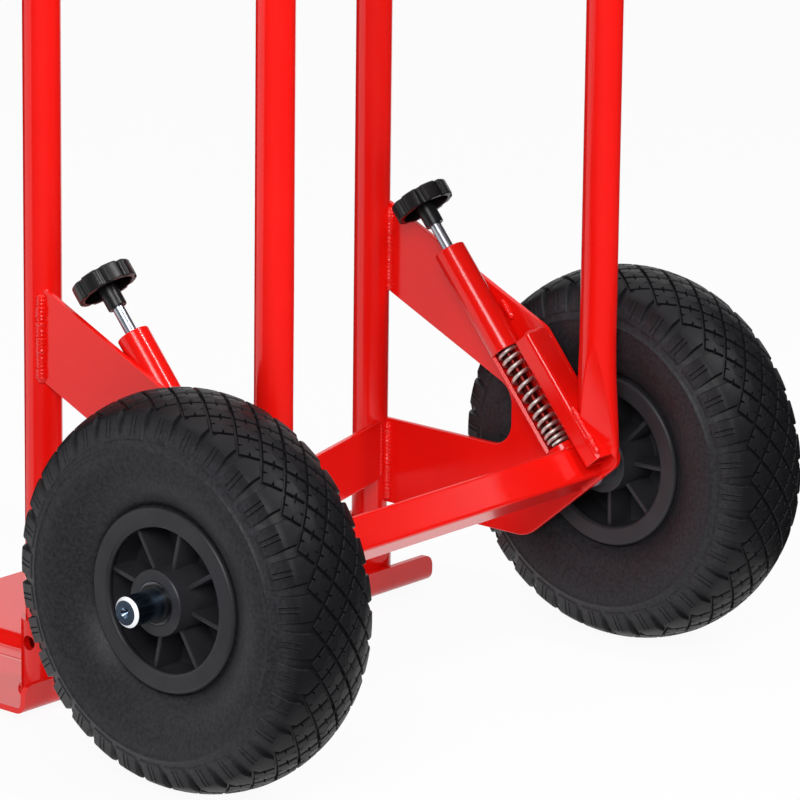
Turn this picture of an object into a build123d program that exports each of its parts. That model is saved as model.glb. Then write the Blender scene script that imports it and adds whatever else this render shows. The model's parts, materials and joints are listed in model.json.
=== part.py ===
"""Two-wheeled hand truck: tube side frames, plunger-locked axle and moulded wheels.

Millimetres. +X is the right side, +Y points forward over the toe plate, +Z is up and the floor
is Z = 0. The origin is below the middle of the truck's outline.
"""

import os
from math import asin, atan2, cos, hypot, pi, radians, sin, sqrt, tan

from build123d import *

# Side frame tubes. Places in Y are measured forward from the axle.
tube_d = 25.0
tube_wall = 2.0
tube_x = 163.5
front_tube_y = 188.0
rear_tube_y = -14.0
bend_z = 1000.0
rear_oval_long = 31.0
rear_oval_short = 24.0
rear_press_length = 95.0

# Wheels and axle
tyre_d = 260.0
tyre_w = 83.0
tyre_shoulder_drop = 10.0
tyre_shoulder_w = 66.0
tyre_ring_drop = 20.0
tyre_ring_w = 1.8
tyre_ring_h = 0.7
tread_columns = 32
tread_rows = 3
tread_turn = 7.3
tread_reach = 29.0
tread_groove_w = 2.1
tread_depth = 2.3
tread_sink = 1.7
lug_w = 17.0
lug_length = 16.0
lug_foot_h = 0.5
rim_flange_d = 121.0
rim_seat_d = 108.0
rim_open_d = 98.0
rim_w = 60.0
rim_flange_w = 5.0
rim_flange_r = 2.0
rim_disc_w = 5.0
rim_rib_count = 8
rim_rib_w = 3.5
rim_rib_setback = 5.0
hub_d = 43.0
hub_w = 73.0
wheel_x = 221.5
bush_d = 28.0
bush_length = 20.0
axle_d = 20.0
axle_stub = 27.0
axle_chamfer = 2.0
axle_centre_d = 7.0
axle_hole_d = 4.6
axle_hole_inset = 10.0
spacer_d = 30.0
washer_d = 25.0
washer_t = 1.5

# Cross bar and side plates
bar_size = 25.0
bar_wall = 2.0
bar_corner = 2.5
plate_t = 4.0
plate_offset = 7.5
lean = 40.0
rear_edge_q = 31.0
lower_edge_s = 14.0
arm_slope = 24.5
arm_width = 57.0
arm_top_rise = 155.0
low_arm_drop = 60.0
low_arm_height = 61.0
cutout_y = 65.0
cutout_r = 17.0
apex_r = 11.0
heel_r = 24.0
crown_r = 12.0

# Strut channel
strut_w = 19.5
strut_t = 2.5
strut_corner = 3.5
strut_top_s = 93.0
strut_foot_s = -6.0
strut_gap = 3.0

# Plunger
guide_d = 22.0
guide_bore_d = 17.2
guide_top_s = 176.0
guide_cap_t = 8.0
window_top_s = 95.0
window_foot_h = 6.0
seat_t = 6.0
seat_depth = 12.0
rod_d = 8.0
rod_chamfer = 1.0
pin_depth = 5.0
collar_d = 14.4
collar_t = 3.0
collar_lift = 2.5
knob_d = 42.0
knob_t = 12.0
knob_gap = 20.0
knob_hub_d = 13.0
knob_hub_h = 13.0
knob_lobes = 8
knob_notch_r = 3.2
knob_notch_depth = 1.6
knob_rim_t = 2.5
knob_top_t = 4.0
knob_edge = 1.2

# Spring
spring_wire = 2.0
spring_mean_d = 12.6
spring_turns = 15
spring_end_drop = 0.35
spring_samples = 24

# Toe plate and sockets
toe_w = 412.0
toe_depth = 220.0
toe_t = 4.0
toe_corner_r = 28.0
lip_y = 165.0
lip_h = 20.0
lip_corner_r = 8.0
bead_drop = 6.0
bead_w = 40.0
bead_length = 165.0
bead_pitch = 110.0
bead_count = 3
socket_wall = 3.0
socket_h = 50.0
socket_hole_d = 10.0
socket_hole_rise = 35.0

# Braces between the front uprights
brace_h = 42.0
brace_t = 4.0
brace_bow = 33.0
brace_flat = 90.0
brace_bend_r = 30.0
low_brace_rise = -41.0
upper_brace_z = (560.0, 880.0)

# Grips
grip_t = 3.5
grip_start = 55.0
grip_end = 165.0
grip_end_r = 1.5

# Clearances
weld_gap = 0.1
fit_gap = 0.05
slide_gap = 0.15
axle_seat_gap = 0.15
run_gap = 0.3
cut_over = 2.0

# Derived places
tube_r = tube_d / 2
axle_r = axle_d / 2
axle_z = tyre_d / 2
toe_front = lip_y + toe_depth
axle_y = (tyre_d / 2 - toe_front) / 2
front_y = axle_y + front_tube_y
rear_y = axle_y + rear_tube_y
bend_r = (front_tube_y - rear_tube_y) / 2
plate_in = tube_x + plate_offset - plate_t / 2
plate_out = plate_in + plate_t
guide_r = guide_d / 2
plunger_x = plate_in - guide_r - weld_gap
bar_top_s = bar_size / 2
tread_r = tyre_d / 2
shoulder_r = tread_r - tyre_shoulder_drop
shoulder_x = tyre_shoulder_w / 2
tread_curve = (shoulder_x**2 + (tread_r - shoulder_r) ** 2) / (2 * (tread_r - shoulder_r))
shoulder_turn = asin(shoulder_x / tread_curve)
row_turn = tread_reach / tread_curve / tread_rows
column_turn = 2 * pi / tread_columns
hub_in = wheel_x - hub_w / 2
hub_out = wheel_x + hub_w / 2
axle_length = 2 * (hub_out + axle_stub)
toe_top = bead_drop + toe_t
tilt = radians(lean)
up_axis = (0, sin(tilt), cos(tilt))
rear_axis = (0, -cos(tilt), sin(tilt))
seat_s = window_top_s + seat_depth
collar_s = bar_top_s + collar_lift
spring_foot_s = collar_s + collar_t + fit_gap
spring_head_s = seat_s - fit_gap
knob_s = guide_top_s + knob_gap
SIDES = ((-1, "left"), (1, "right"))


def write(piece: BuildPart, name: str) -> None:
    """Label a finished piece and write it as one STEP file."""
    piece.part.label = name
    export_step(piece.part, f"parts/{name}.step")


def lock_plane(x: float, s: float = 0.0) -> Plane:
    """Plane square to the plunger, s up its slope from the axle, with local y pointing down and forward."""
    place = (x, axle_y + s * up_axis[1], axle_z + s * up_axis[2])
    return Plane(origin=place, x_dir=(1, 0, 0), z_dir=up_axis)


def side_plane(x: float, outward: int = 1) -> Plane:
    """Upright plane square to X whose local x is forward of the axle and local y is above it."""
    if outward > 0:
        return Plane(origin=(x, axle_y, axle_z), x_dir=(0, 1, 0), z_dir=(1, 0, 0))
    return Plane(origin=(x, axle_y, axle_z), x_dir=(0, -1, 0), z_dir=(-1, 0, 0))


def floor_plane(x: float, y: float, z: float) -> Plane:
    """Level plane at a point."""
    return Plane(origin=(x, y, z), x_dir=(1, 0, 0), z_dir=(0, 0, 1))


def tread_plane(column: float, side: int, r: float, x: float, turn: float) -> Plane:
    """Plane on a tyre centred on X = 0, at a tread column, whose normal is turned outward from the radius."""
    angle = radians(tread_turn) + column * column_turn
    radius = Vector(0, cos(angle), sin(angle))
    along = Vector(0, -sin(angle), cos(angle))
    place = Vector(side * x, axle_y, axle_z) + radius * r
    return Plane(origin=place, x_dir=along * side, z_dir=radius * cos(turn) + Vector(side * sin(turn), 0, 0))


def meet(point_a, angle_a: float, point_b, angle_b: float) -> tuple[float, float]:
    """Point where two lines cross, each given by a point and its angle in degrees."""
    ax, ay = cos(radians(angle_a)), sin(radians(angle_a))
    bx, by = cos(radians(angle_b)), sin(radians(angle_b))
    dx, dy = point_b[0] - point_a[0], point_b[1] - point_a[1]
    run = (dx * by - dy * bx) / (ax * by - ay * bx)
    return (point_a[0] + run * ax, point_a[1] + run * ay)


def slope_point(q: float, s: float) -> tuple[float, float]:
    """Forward and up distances from the axle of a point q behind and s along the plunger's line."""
    return (q * rear_axis[1] + s * up_axis[1], q * rear_axis[2] + s * up_axis[2])


os.makedirs("parts", exist_ok=True)

# Front uprights: straight tube, drilled in line with the socket's hole
for side, tag in SIDES:
    x = side * tube_x
    with BuildPart() as front_upright:
        with BuildSketch(floor_plane(x, front_y, toe_top)):
            Circle(tube_r)
            Circle(tube_r - tube_wall, mode=Mode.SUBTRACT)
        extrude(amount=bend_z - toe_top)
        with BuildSketch(Plane(origin=(x, front_y, toe_top + socket_hole_rise), z_dir=(side, 0, 0))):
            Circle(socket_hole_d / 2)
        extrude(amount=tube_d, mode=Mode.SUBTRACT)
    write(front_upright, f"front_upright_{tag}")

# Handle bends: half a ring from the front upright back to the rear one
bend_axis = Axis((0, (front_y + rear_y) / 2, bend_z), (1, 0, 0))
for side, tag in SIDES:
    with BuildPart() as handle_bend:
        with BuildSketch(floor_plane(side * tube_x, front_y, bend_z)):
            Circle(tube_r)
            Circle(tube_r - tube_wall, mode=Mode.SUBTRACT)
        revolve(axis=bend_axis, revolution_arc=180)
    write(handle_bend, f"handle_bend_{tag}")

# Grips: soft sleeves over the top of each bend
for side, tag in SIDES:
    start = radians(grip_start)
    grip_plane = Plane(
        origin=(
            side * tube_x,
            bend_axis.position.Y + bend_r * cos(start),
            bend_z + bend_r * sin(start),
        ),
        x_dir=(1, 0, 0),
        z_dir=(0, -sin(start), cos(start)),
    )
    with BuildPart() as grip:
        with BuildSketch(grip_plane):
            Circle(tube_r + fit_gap + grip_t)
            Circle(tube_r + fit_gap, mode=Mode.SUBTRACT)
        revolve(axis=bend_axis, revolution_arc=grip_end - grip_start)
        rims = [edge for edge in grip.edges().filter_by(GeomType.CIRCLE)
                if abs(edge.radius - tube_r - fit_gap - grip_t) < fit_gap / 2]
        fillet(rims, grip_end_r)
    write(grip, f"grip_{tag}")

# Rear uprights: the foot is pressed oval and cut to lie on the strut's sloping back
press_top = axle_z + slope_point(rear_edge_q, 0)[1] + rear_press_length
press_foot = axle_z
foot_cut = Plane(
    origin=(0, axle_y + slope_point(rear_edge_q + weld_gap, 0)[0],
            axle_z + slope_point(rear_edge_q + weld_gap, 0)[1]),
    x_dir=(1, 0, 0),
    z_dir=rear_axis,
)
for side, tag in SIDES:
    x = side * tube_x
    with BuildPart() as rear_upright:
        for shrink, mode in ((0.0, Mode.ADD), (tube_wall, Mode.SUBTRACT)):
            with BuildSketch(floor_plane(x, rear_y, press_top)):
                Circle(tube_r - shrink)
            extrude(amount=bend_z - press_top, mode=mode)
            with BuildSketch(floor_plane(x, rear_y, press_top)):
                Circle(tube_r - shrink)
            with BuildSketch(floor_plane(x, rear_y, press_foot)):
                Ellipse(rear_oval_short / 2 - shrink, rear_oval_long / 2 - shrink)
            loft(mode=mode)
        split(bisect_by=foot_cut, keep=Keep.TOP)
    write(rear_upright, f"rear_upright_{tag}")

# Side plates: a sloping upper arm, a level lower arm and a C-shaped opening between them
slope_angle = 90 - lean
arm_top = (front_tube_y, arm_top_rise + tube_r * tan(radians(arm_slope)))
arm_low = (front_tube_y, arm_top[1] - arm_width / cos(radians(arm_slope)))
low_top = low_arm_height - low_arm_drop
plate_outline = (
    arm_top,
    meet(arm_top, arm_slope, slope_point(rear_edge_q, 0), slope_angle),
    slope_point(rear_edge_q, -lower_edge_s),
    meet(slope_point(0, -lower_edge_s), -lean, (0, -low_arm_drop), 0),
    (front_tube_y, -low_arm_drop),
    (front_tube_y, low_top),
    (cutout_y, low_top),
    meet((cutout_y, 0), 90, arm_low, arm_slope),
    arm_low,
)
plate_radii = (0, crown_r, apex_r, heel_r, 0, 0, cutout_r, cutout_r, 0)
for side, tag in SIDES:
    with BuildPart() as side_plate:
        with BuildSketch(side_plane(side * plate_in)):
            with BuildLine():
                FilletPolyline(*plate_outline, radius=plate_radii, close=True)
            make_face()
            Circle(axle_r + axle_seat_gap, mode=Mode.SUBTRACT)
        extrude(amount=side * plate_t)
        with BuildSketch(floor_plane(side * tube_x, front_y, toe_top)):
            Circle(tube_r + weld_gap)
        extrude(amount=bend_z, mode=Mode.SUBTRACT)
    write(side_plate, f"side_plate_{tag}")

# Strut channels: folded sheet on the plate's inner face, open towards it
strut_front_q = bar_size / 2 + strut_gap
strut_depth = rear_edge_q - strut_front_q
strut_mid_q = (rear_edge_q + strut_front_q) / 2
for side, tag in SIDES:
    x_mid = side * (plate_in - strut_w / 2)
    with BuildPart() as strut:
        with BuildSketch(lock_plane(x_mid, strut_foot_s)) as strut_section:
            with Locations((0, -strut_mid_q)):
                Rectangle(strut_w, strut_depth)
            fillet(strut_section.vertices().group_by(Axis.X)[0 if side > 0 else -1], strut_corner)
            with Locations((side * strut_t, -strut_mid_q)):
                Rectangle(strut_w, strut_depth - 2 * strut_t, mode=Mode.SUBTRACT)
        extrude(amount=strut_top_s - strut_foot_s)
    write(strut, f"strut_{tag}")

# Cross bar: square tube turned square to the plungers, drilled on top for their pins
with BuildPart() as cross_bar:
    with BuildSketch(Plane(origin=(-plate_in, axle_y, axle_z), x_dir=up_axis, z_dir=(1, 0, 0))):
        RectangleRounded(bar_size, bar_size, bar_corner)
        Rectangle(bar_size - 2 * bar_wall, bar_size - 2 * bar_wall, mode=Mode.SUBTRACT)
    extrude(amount=2 * plate_in)
    for side, tag in SIDES:
        with BuildSketch(lock_plane(side * plunger_x)):
            Circle(rod_d / 2 + slide_gap)
        extrude(amount=bar_size, mode=Mode.SUBTRACT)
write(cross_bar, "cross_bar")

# Axle: bright bar, centred and cross-drilled at its ends, with a blind hole for each pin
with BuildPart() as axle:
    with BuildSketch(Plane(origin=(-axle_length / 2, axle_y, axle_z), z_dir=(1, 0, 0))):
        Circle(axle_r)
    extrude(amount=axle_length)
    chamfer(axle.edges().filter_by(GeomType.CIRCLE), axle_chamfer)
    for side, tag in SIDES:
        end = Plane(origin=(side * axle_length / 2, axle_y, axle_z), z_dir=(side, 0, 0))
        with Locations(end):
            Cone(0, axle_centre_d / 2, axle_centre_d / 2, align=(Align.CENTER, Align.CENTER, Align.MAX),
                 mode=Mode.SUBTRACT)
        with BuildSketch(floor_plane(side * (axle_length / 2 - axle_hole_inset), axle_y, axle_z)):
            Circle(axle_hole_d / 2)
        extrude(amount=axle_d, both=True, mode=Mode.SUBTRACT)
        with BuildSketch(lock_plane(side * plunger_x, -pin_depth - cut_over)):
            Circle(rod_d / 2 + slide_gap)
        extrude(amount=axle_d, mode=Mode.SUBTRACT)
write(axle, "axle")

# Spacers and retaining washers on the axle
for side, tag in SIDES:
    for name, inner, outer, d, gap in (
        ("axle_spacer", plate_out, hub_in - run_gap, spacer_d, fit_gap),
        ("retaining_washer", hub_out + run_gap, hub_out + run_gap + washer_t, washer_d, fit_gap),
    ):
        with BuildPart() as ring:
            with BuildSketch(Plane(origin=(side * inner, axle_y, axle_z), z_dir=(side, 0, 0))):
                Circle(d / 2)
                Circle(axle_r + gap, mode=Mode.SUBTRACT)
            extrude(amount=outer - inner)
        write(ring, f"{name}_{tag}")

# Rims: hub, mid disc, ribs on both faces, barrel and bead flanges
rim_half = rim_w / 2
for side, tag in SIDES:
    centre = Plane(origin=(side * wheel_x, axle_y, axle_z), x_dir=(0, 1, 0), z_dir=(side, 0, 0))
    section = Plane(origin=centre.origin, x_dir=(0, 0, 1), z_dir=(0, -side, 0))
    spin = Axis(centre.origin, (1, 0, 0))
    with BuildPart() as rim:
        with BuildSketch(section):
            with Locations(((bush_d / 2 + fit_gap + hub_d / 2) / 2, 0)):
                Rectangle(hub_d / 2 - bush_d / 2 - fit_gap, hub_w)
            with Locations(((hub_d / 2 + rim_open_d / 2) / 2, 0)):
                Rectangle(rim_open_d / 2 - hub_d / 2 + rim_flange_w, rim_disc_w)
            with Locations(((rim_open_d / 2 + rim_seat_d / 2) / 2, 0)):
                Rectangle((rim_seat_d - rim_open_d) / 2, rim_w)
            with Locations(*[((rim_open_d / 2 + rim_flange_d / 2) / 2, end * (rim_half - rim_flange_w / 2))
                             for end in (-1, 1)]):
                RectangleRounded((rim_flange_d - rim_open_d) / 2, rim_flange_w, rim_flange_r)
        revolve(axis=spin)
        with BuildSketch(centre.offset(-rim_half + rim_rib_setback)):
            with PolarLocations((rim_open_d / 2 + hub_d / 2) / 2, rim_rib_count):
                Rectangle(rim_open_d / 2 - hub_d / 2 + rim_rib_w, rim_rib_w)
        extrude(amount=rim_w - 2 * rim_rib_setback)
    write(rim, f"rim_{tag}")

    # Bearing bushes pressed into the hub, flush with its ends
    for end, place in ((-1, "inner"), (1, "outer")):
        with BuildPart() as bush:
            with BuildSketch(centre.offset(end * hub_w / 2)):
                Circle(bush_d / 2)
                Circle(axle_r + fit_gap, mode=Mode.SUBTRACT)
            extrude(amount=-end * bush_length)
        write(bush, f"bearing_{place}_{tag}")

# Tyre: bead, bulging sidewall with a thin ring, and a round crown that carries the tread
bead_half = rim_half - rim_flange_w - fit_gap
bead_r = rim_seat_d / 2 + fit_gap
lip_r = rim_flange_d / 2 + fit_gap
belly_r = (rim_flange_d / 2 + shoulder_r) / 2
ring_r = shoulder_r - tyre_ring_drop
floor_curve = tread_curve - tread_depth
floor_r = tread_r - tread_curve + floor_curve * cos(shoulder_turn)
floor_x = floor_curve * sin(shoulder_turn)
with BuildPart() as tyre:
    with BuildSketch(Plane(origin=(0, axle_y, axle_z), x_dir=(0, 0, 1), z_dir=(0, -1, 0))):
        with BuildLine():
            for end in (1, -1):
                Line((bead_r, 0), (bead_r, end * bead_half))
                Line((bead_r, end * bead_half), (lip_r, end * bead_half))
                ThreePointArc((lip_r, end * bead_half), (belly_r, end * tyre_w / 2), (ring_r, end * tyre_w / 2))
                Line((ring_r, end * tyre_w / 2), (floor_r, end * floor_x))
            ThreePointArc((floor_r, floor_x), (tread_r - tread_depth, 0), (floor_r, -floor_x))
        make_face()
        with Locations((ring_r, tyre_w / 2), (ring_r, -tyre_w / 2)):
            Rectangle(tyre_ring_w, 2 * tyre_ring_h)
    revolve(axis=Axis((0, axle_y, axle_z), (1, 0, 0)))

    # Tread: rows of flat diamond blocks over the crown, and a pointed lug row along each shoulder
    for row in range(tread_rows + 1):
        turn = row * row_turn
        half_u = (tread_r - tread_curve + tread_curve * cos(turn)) * sin(column_turn / 2)
        half_v = tread_curve * sin(row_turn)
        keep = 1 - tread_groove_w / 2 * hypot(half_u, half_v) / (half_u * half_v)
        tip_u, tip_v = half_u * keep, half_v * keep
        top_curve = sqrt(tread_curve**2 - tip_v**2)
        top_r = tread_r - tread_curve + top_curve * cos(turn)
        flanks = (-1, 1) if row else (1,)
        columns = [column + row % 2 / 2 for column in range(tread_columns)]
        with BuildSketch(*[tread_plane(column, flank, top_r, top_curve * sin(turn), turn)
                           for column in columns for flank in flanks]):
            if row < tread_rows:
                Polygon((tip_u, 0), (0, tip_v), (-tip_u, 0), (0, -tip_v))
            else:
                lug_u = lug_w / 2
                lug_v = tip_v * (1 - lug_u / tip_u)
                edge_v = tread_curve * sin(shoulder_turn - turn)
                Polygon((0, -tip_v), (lug_u, -lug_v), (lug_u, edge_v), (-lug_u, edge_v), (-lug_u, -lug_v),
                        align=None)

    # Lug ends: bars from the shoulder down the sidewall, lower towards the ring
    wall_run = hypot(ring_r - floor_r, tyre_w / 2 - floor_x)
    fall = shoulder_r - floor_r + lug_length * (floor_r - ring_r) / wall_run
    spread = floor_x - shoulder_x + lug_length * (tyre_w / 2 - floor_x) / wall_run + lug_foot_h
    with BuildSketch(*[tread_plane(column, flank, shoulder_r, shoulder_x, atan2(fall, spread))
                       for column in columns for flank in flanks]):
        Rectangle(lug_w, hypot(fall, spread), align=(Align.CENTER, Align.MIN))
    extrude(amount=-tread_depth - tread_sink)
for side, tag in SIDES:
    with BuildPart() as placed_tyre:
        with Locations((side * wheel_x, 0, 0)):
            add(tyre.part)
    write(placed_tyre, f"tyre_{tag}")

# Plunger guides: capped tubes on the cross bar, cut open at the back over the spring
for side, tag in SIDES:
    with BuildPart() as guide:
        with BuildSketch(lock_plane(side * plunger_x, bar_top_s)):
            Circle(guide_r)
        extrude(amount=guide_top_s - bar_top_s)
        with BuildSketch(lock_plane(side * plunger_x, bar_top_s)):
            Circle(guide_bore_d / 2)
        extrude(amount=guide_top_s - guide_cap_t - bar_top_s, mode=Mode.SUBTRACT)
        with BuildSketch(lock_plane(side * plunger_x, bar_top_s)):
            Circle(rod_d / 2 + slide_gap)
        extrude(amount=guide_top_s, mode=Mode.SUBTRACT)
        with BuildSketch(lock_plane(side * plunger_x, bar_top_s + window_foot_h)):
            with Locations((0, -guide_d / 2)):
                Rectangle(guide_d + cut_over, guide_d)
        extrude(amount=window_top_s - bar_top_s - window_foot_h, mode=Mode.SUBTRACT)
    write(guide, f"guide_tube_{tag}")

    with BuildPart() as seat:
        with BuildSketch(lock_plane(side * plunger_x, seat_s)):
            Circle(guide_bore_d / 2 - fit_gap)
            Circle(rod_d / 2 + slide_gap, mode=Mode.SUBTRACT)
        extrude(amount=seat_t)
    write(seat, f"spring_seat_{tag}")

    # Rod with its pin end in the axle and a collar that carries the spring
    with BuildPart() as rod:
        with BuildSketch(lock_plane(side * plunger_x, -pin_depth)):
            Circle(rod_d / 2)
        extrude(amount=knob_s + knob_hub_h + pin_depth)
        chamfer(rod.edges().filter_by(GeomType.CIRCLE), rod_chamfer)
        with BuildSketch(lock_plane(side * plunger_x, collar_s)):
            Circle(collar_d / 2)
        extrude(amount=collar_t)
    write(rod, f"plunger_rod_{tag}")

    # Knob: notched head, hollow below, on a round hub
    head_s = knob_s + knob_hub_h
    with BuildPart() as knob:
        with BuildSketch(lock_plane(side * plunger_x, head_s)):
            Circle(knob_d / 2)
            with PolarLocations(knob_d / 2 + knob_notch_r - knob_notch_depth, knob_lobes):
                Circle(knob_notch_r, mode=Mode.SUBTRACT)
        extrude(amount=knob_t)
        chamfer(knob.faces().sort_by(Axis((0, 0, 0), up_axis))[-1].edges(), knob_edge)
        with BuildSketch(lock_plane(side * plunger_x, head_s)):
            Circle(knob_d / 2 - knob_notch_depth - knob_rim_t)
        extrude(amount=knob_t - knob_top_t, mode=Mode.SUBTRACT)
        with BuildSketch(lock_plane(side * plunger_x, knob_s)):
            Circle(knob_hub_d / 2)
        extrude(amount=knob_hub_h + knob_t - knob_top_t)
        with BuildSketch(lock_plane(side * plunger_x, knob_s)):
            Circle(rod_d / 2 + fit_gap)
        extrude(amount=knob_hub_h, mode=Mode.SUBTRACT)
    write(knob, f"knob_{tag}")


def helix_point(base: Plane, turn: float) -> Vector:
    """Point of the spring's centre line after a number of turns."""
    angle = 2 * pi * turn
    across = base.x_dir * cos(angle) + base.y_dir * sin(angle)
    return base.origin + across * (spring_mean_d / 2) + base.z_dir * (spring_pitch * turn)


def helix_heading(base: Plane, turn: float) -> Vector:
    """Unit direction of the spring's centre line after a number of turns."""
    angle = 2 * pi * turn
    across = base.y_dir * cos(angle) - base.x_dir * sin(angle)
    return (across * (pi * spring_mean_d) + base.z_dir * spring_pitch).normalized()


def biarc_joint(a: Vector, a_way: Vector, b: Vector, b_way: Vector) -> tuple[Vector, Vector]:
    """Point and heading where two arcs, one leaving a along a_way and one reaching b along b_way, meet."""
    gap = b - a
    along = gap.dot(a_way + b_way)
    spread = 2 * (1 - a_way.dot(b_way))
    reach = (-along + (along**2 + spread * gap.dot(gap)) ** 0.5) / spread
    before = a + a_way * reach
    after = b - b_way * reach
    return (before + after) * 0.5, (after - before).normalized()


# Springs: one wire from the rod's collar up to the seat in the guide tube
spring_pitch = (spring_head_s - spring_foot_s - spring_wire - 2 * spring_end_drop) / spring_turns
half_turns = [step / 2 for step in range(2 * spring_turns + 1)]
for side, tag in SIDES:
    base = lock_plane(side * plunger_x, spring_foot_s + spring_end_drop + spring_wire / 2)
    with BuildPart() as spring:
        with BuildLine() as coil:
            start = helix_point(base, 0)
            Line(start - helix_heading(base, 0) * spring_wire, start)
            for begin, finish in zip(half_turns, half_turns[1:]):
                a, b = helix_point(base, begin), helix_point(base, finish)
                a_way, b_way = helix_heading(base, begin), helix_heading(base, finish)
                joint, joint_way = biarc_joint(a, a_way, b, b_way)
                TangentArc(a, joint, tangent=a_way)
                TangentArc(joint, b, tangent=joint_way)
            last = helix_point(base, spring_turns)
            Line(last, last + helix_heading(base, spring_turns) * spring_wire)
        with BuildSketch(Plane(origin=coil.line @ 0, z_dir=coil.line % 0)):
            Circle(spring_wire / 2)
        sweep()
    write(spring, f"spring_{tag}")

samples = [helix_point(base, step / spring_samples) for step in range(spring_samples * spring_turns + 1)]
least_gap = min(
    (samples[i] - samples[j]).length - spring_wire
    for i in range(len(samples))
    for j in range(i + spring_samples // 2, min(i + 2 * spring_samples, len(samples)))
)
print(f"spring: least gap between turns {least_gap:.2f} mm, pitch {spring_pitch:.2f} mm")

# Toe plate: sheet with pressed beads that stand on the floor and a turned-up rear lip
toe_mid_y = axle_y + lip_y + toe_depth / 2
with BuildPart() as toe_plate:
    with BuildSketch(floor_plane(0, toe_mid_y, bead_drop)) as toe_outline:
        Rectangle(toe_w, toe_depth)
        fillet(toe_outline.vertices().group_by(Axis.Y)[-1], toe_corner_r)
    extrude(amount=toe_t)
    with BuildSketch(floor_plane(0, toe_mid_y, 0)):
        with GridLocations(bead_pitch, 0, bead_count, 1):
            SlotOverall(bead_length, bead_w, rotation=90)
    extrude(amount=bead_drop)
    with BuildSketch(floor_plane(0, toe_mid_y, toe_t)):
        with GridLocations(bead_pitch, 0, bead_count, 1):
            SlotOverall(bead_length - 2 * toe_t, bead_w - 2 * toe_t, rotation=90)
    extrude(amount=toe_top, mode=Mode.SUBTRACT)
    with BuildSketch(Plane(origin=(0, axle_y + lip_y, bead_drop + lip_h / 2), x_dir=(-1, 0, 0),
                           z_dir=(0, 1, 0))) as lip_outline:
        Rectangle(toe_w, lip_h)
        fillet(lip_outline.vertices().group_by(Axis.Y)[-1], lip_corner_r)
    extrude(amount=toe_t)
write(toe_plate, "toe_plate")

# Sockets: sleeves that hold the front uprights' feet
for side, tag in SIDES:
    x = side * tube_x
    with BuildPart() as socket:
        with BuildSketch(floor_plane(x, front_y, toe_top)):
            Circle(tube_r + weld_gap + socket_wall)
            Circle(tube_r + weld_gap, mode=Mode.SUBTRACT)
        extrude(amount=socket_h)
        with BuildSketch(Plane(origin=(x, front_y, toe_top + socket_hole_rise), z_dir=(side, 0, 0))):
            Circle(socket_hole_d / 2)
        extrude(amount=tube_d, mode=Mode.SUBTRACT)
    write(socket, f"socket_{tag}")

# Braces: flat bars bent back between the front uprights
brace_end_y = front_y - tube_r + brace_t / 2
brace_route = (
    (-tube_x, brace_end_y),
    (-brace_flat / 2, brace_end_y - brace_bow),
    (brace_flat / 2, brace_end_y - brace_bow),
    (tube_x, brace_end_y),
)
brace_heights = (axle_z + low_brace_rise, *upper_brace_z)
for height, tag in zip(brace_heights, ("low", "middle", "top")):
    with BuildPart() as brace:
        with BuildSketch(Plane.XY.offset(height)):
            with BuildLine():
                FilletPolyline(*brace_route, radius=brace_bend_r)
            trace(line_width=brace_t)
        extrude(amount=brace_h)
        with BuildSketch(Plane.XY.offset(height)):
            with Locations((-tube_x, front_y), (tube_x, front_y)):
                Circle(tube_r + weld_gap)
        extrude(amount=brace_h, mode=Mode.SUBTRACT)
    write(brace, f"brace_{tag}")
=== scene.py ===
"""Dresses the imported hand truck: painted tube frame, sprung axle locks and treaded wheels.

Sizes are millimetres in the truck's own frame and turn into metres when a mesh is made. +X is the truck's
right, +Y points forward over the toe plate and +Z is up.
"""

import json
import logging
import random
from dataclasses import dataclass, field
from enum import Enum, auto
from math import asin, atan2, ceil, cos, hypot, pi, radians, sin, sqrt, tan
from typing import Callable, Iterable, Sequence

import bmesh
import bpy
from mathutils import Matrix, Vector
from mathutils.geometry import tessellate_polygon


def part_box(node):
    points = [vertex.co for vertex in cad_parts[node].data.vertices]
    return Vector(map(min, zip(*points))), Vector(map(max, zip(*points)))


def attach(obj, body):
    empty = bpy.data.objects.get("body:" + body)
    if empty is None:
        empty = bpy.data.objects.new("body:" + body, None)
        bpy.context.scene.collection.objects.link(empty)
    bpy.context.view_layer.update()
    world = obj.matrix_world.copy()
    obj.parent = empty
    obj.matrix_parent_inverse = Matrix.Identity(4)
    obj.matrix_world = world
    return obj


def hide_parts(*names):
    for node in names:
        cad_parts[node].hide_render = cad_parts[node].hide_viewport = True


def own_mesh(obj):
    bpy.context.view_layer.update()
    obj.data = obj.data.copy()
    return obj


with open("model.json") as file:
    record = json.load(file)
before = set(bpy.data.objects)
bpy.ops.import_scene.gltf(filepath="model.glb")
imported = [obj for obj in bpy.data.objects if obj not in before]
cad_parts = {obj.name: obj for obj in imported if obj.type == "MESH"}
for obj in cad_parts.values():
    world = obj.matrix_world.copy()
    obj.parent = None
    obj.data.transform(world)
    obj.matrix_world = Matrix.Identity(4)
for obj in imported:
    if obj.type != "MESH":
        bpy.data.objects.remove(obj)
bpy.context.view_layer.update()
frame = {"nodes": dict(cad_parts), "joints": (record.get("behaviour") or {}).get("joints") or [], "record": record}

LOG = logging.getLogger("hand_truck")
MM = 0.001
MERGE = 0.002
BRACES = ("low", "middle", "top")
PATCH_NOISE = {"Detail": 4.0, "Roughness": 0.6}
PATCH_STOPS = (0.3, 0.62)
GRAIN_NOISE = {"Detail": 3.0, "Roughness": 0.55}
GRAIN_RANGE = (0.3, 0.7)
Point = tuple[float, float]
Loop = list[Point]
Placer = Callable[[float, float, float], Vector]


class Side(Enum):
    """The two sides of the truck, with the sign of X and the word in the node names."""

    LEFT = (-1, "left")
    RIGHT = (1, "right")

    @property
    def sign(self) -> int:
        """Sign of X on this side."""
        return self.value[0]

    @property
    def tag(self) -> str:
        """Word for this side in names."""
        return self.value[1]


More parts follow.
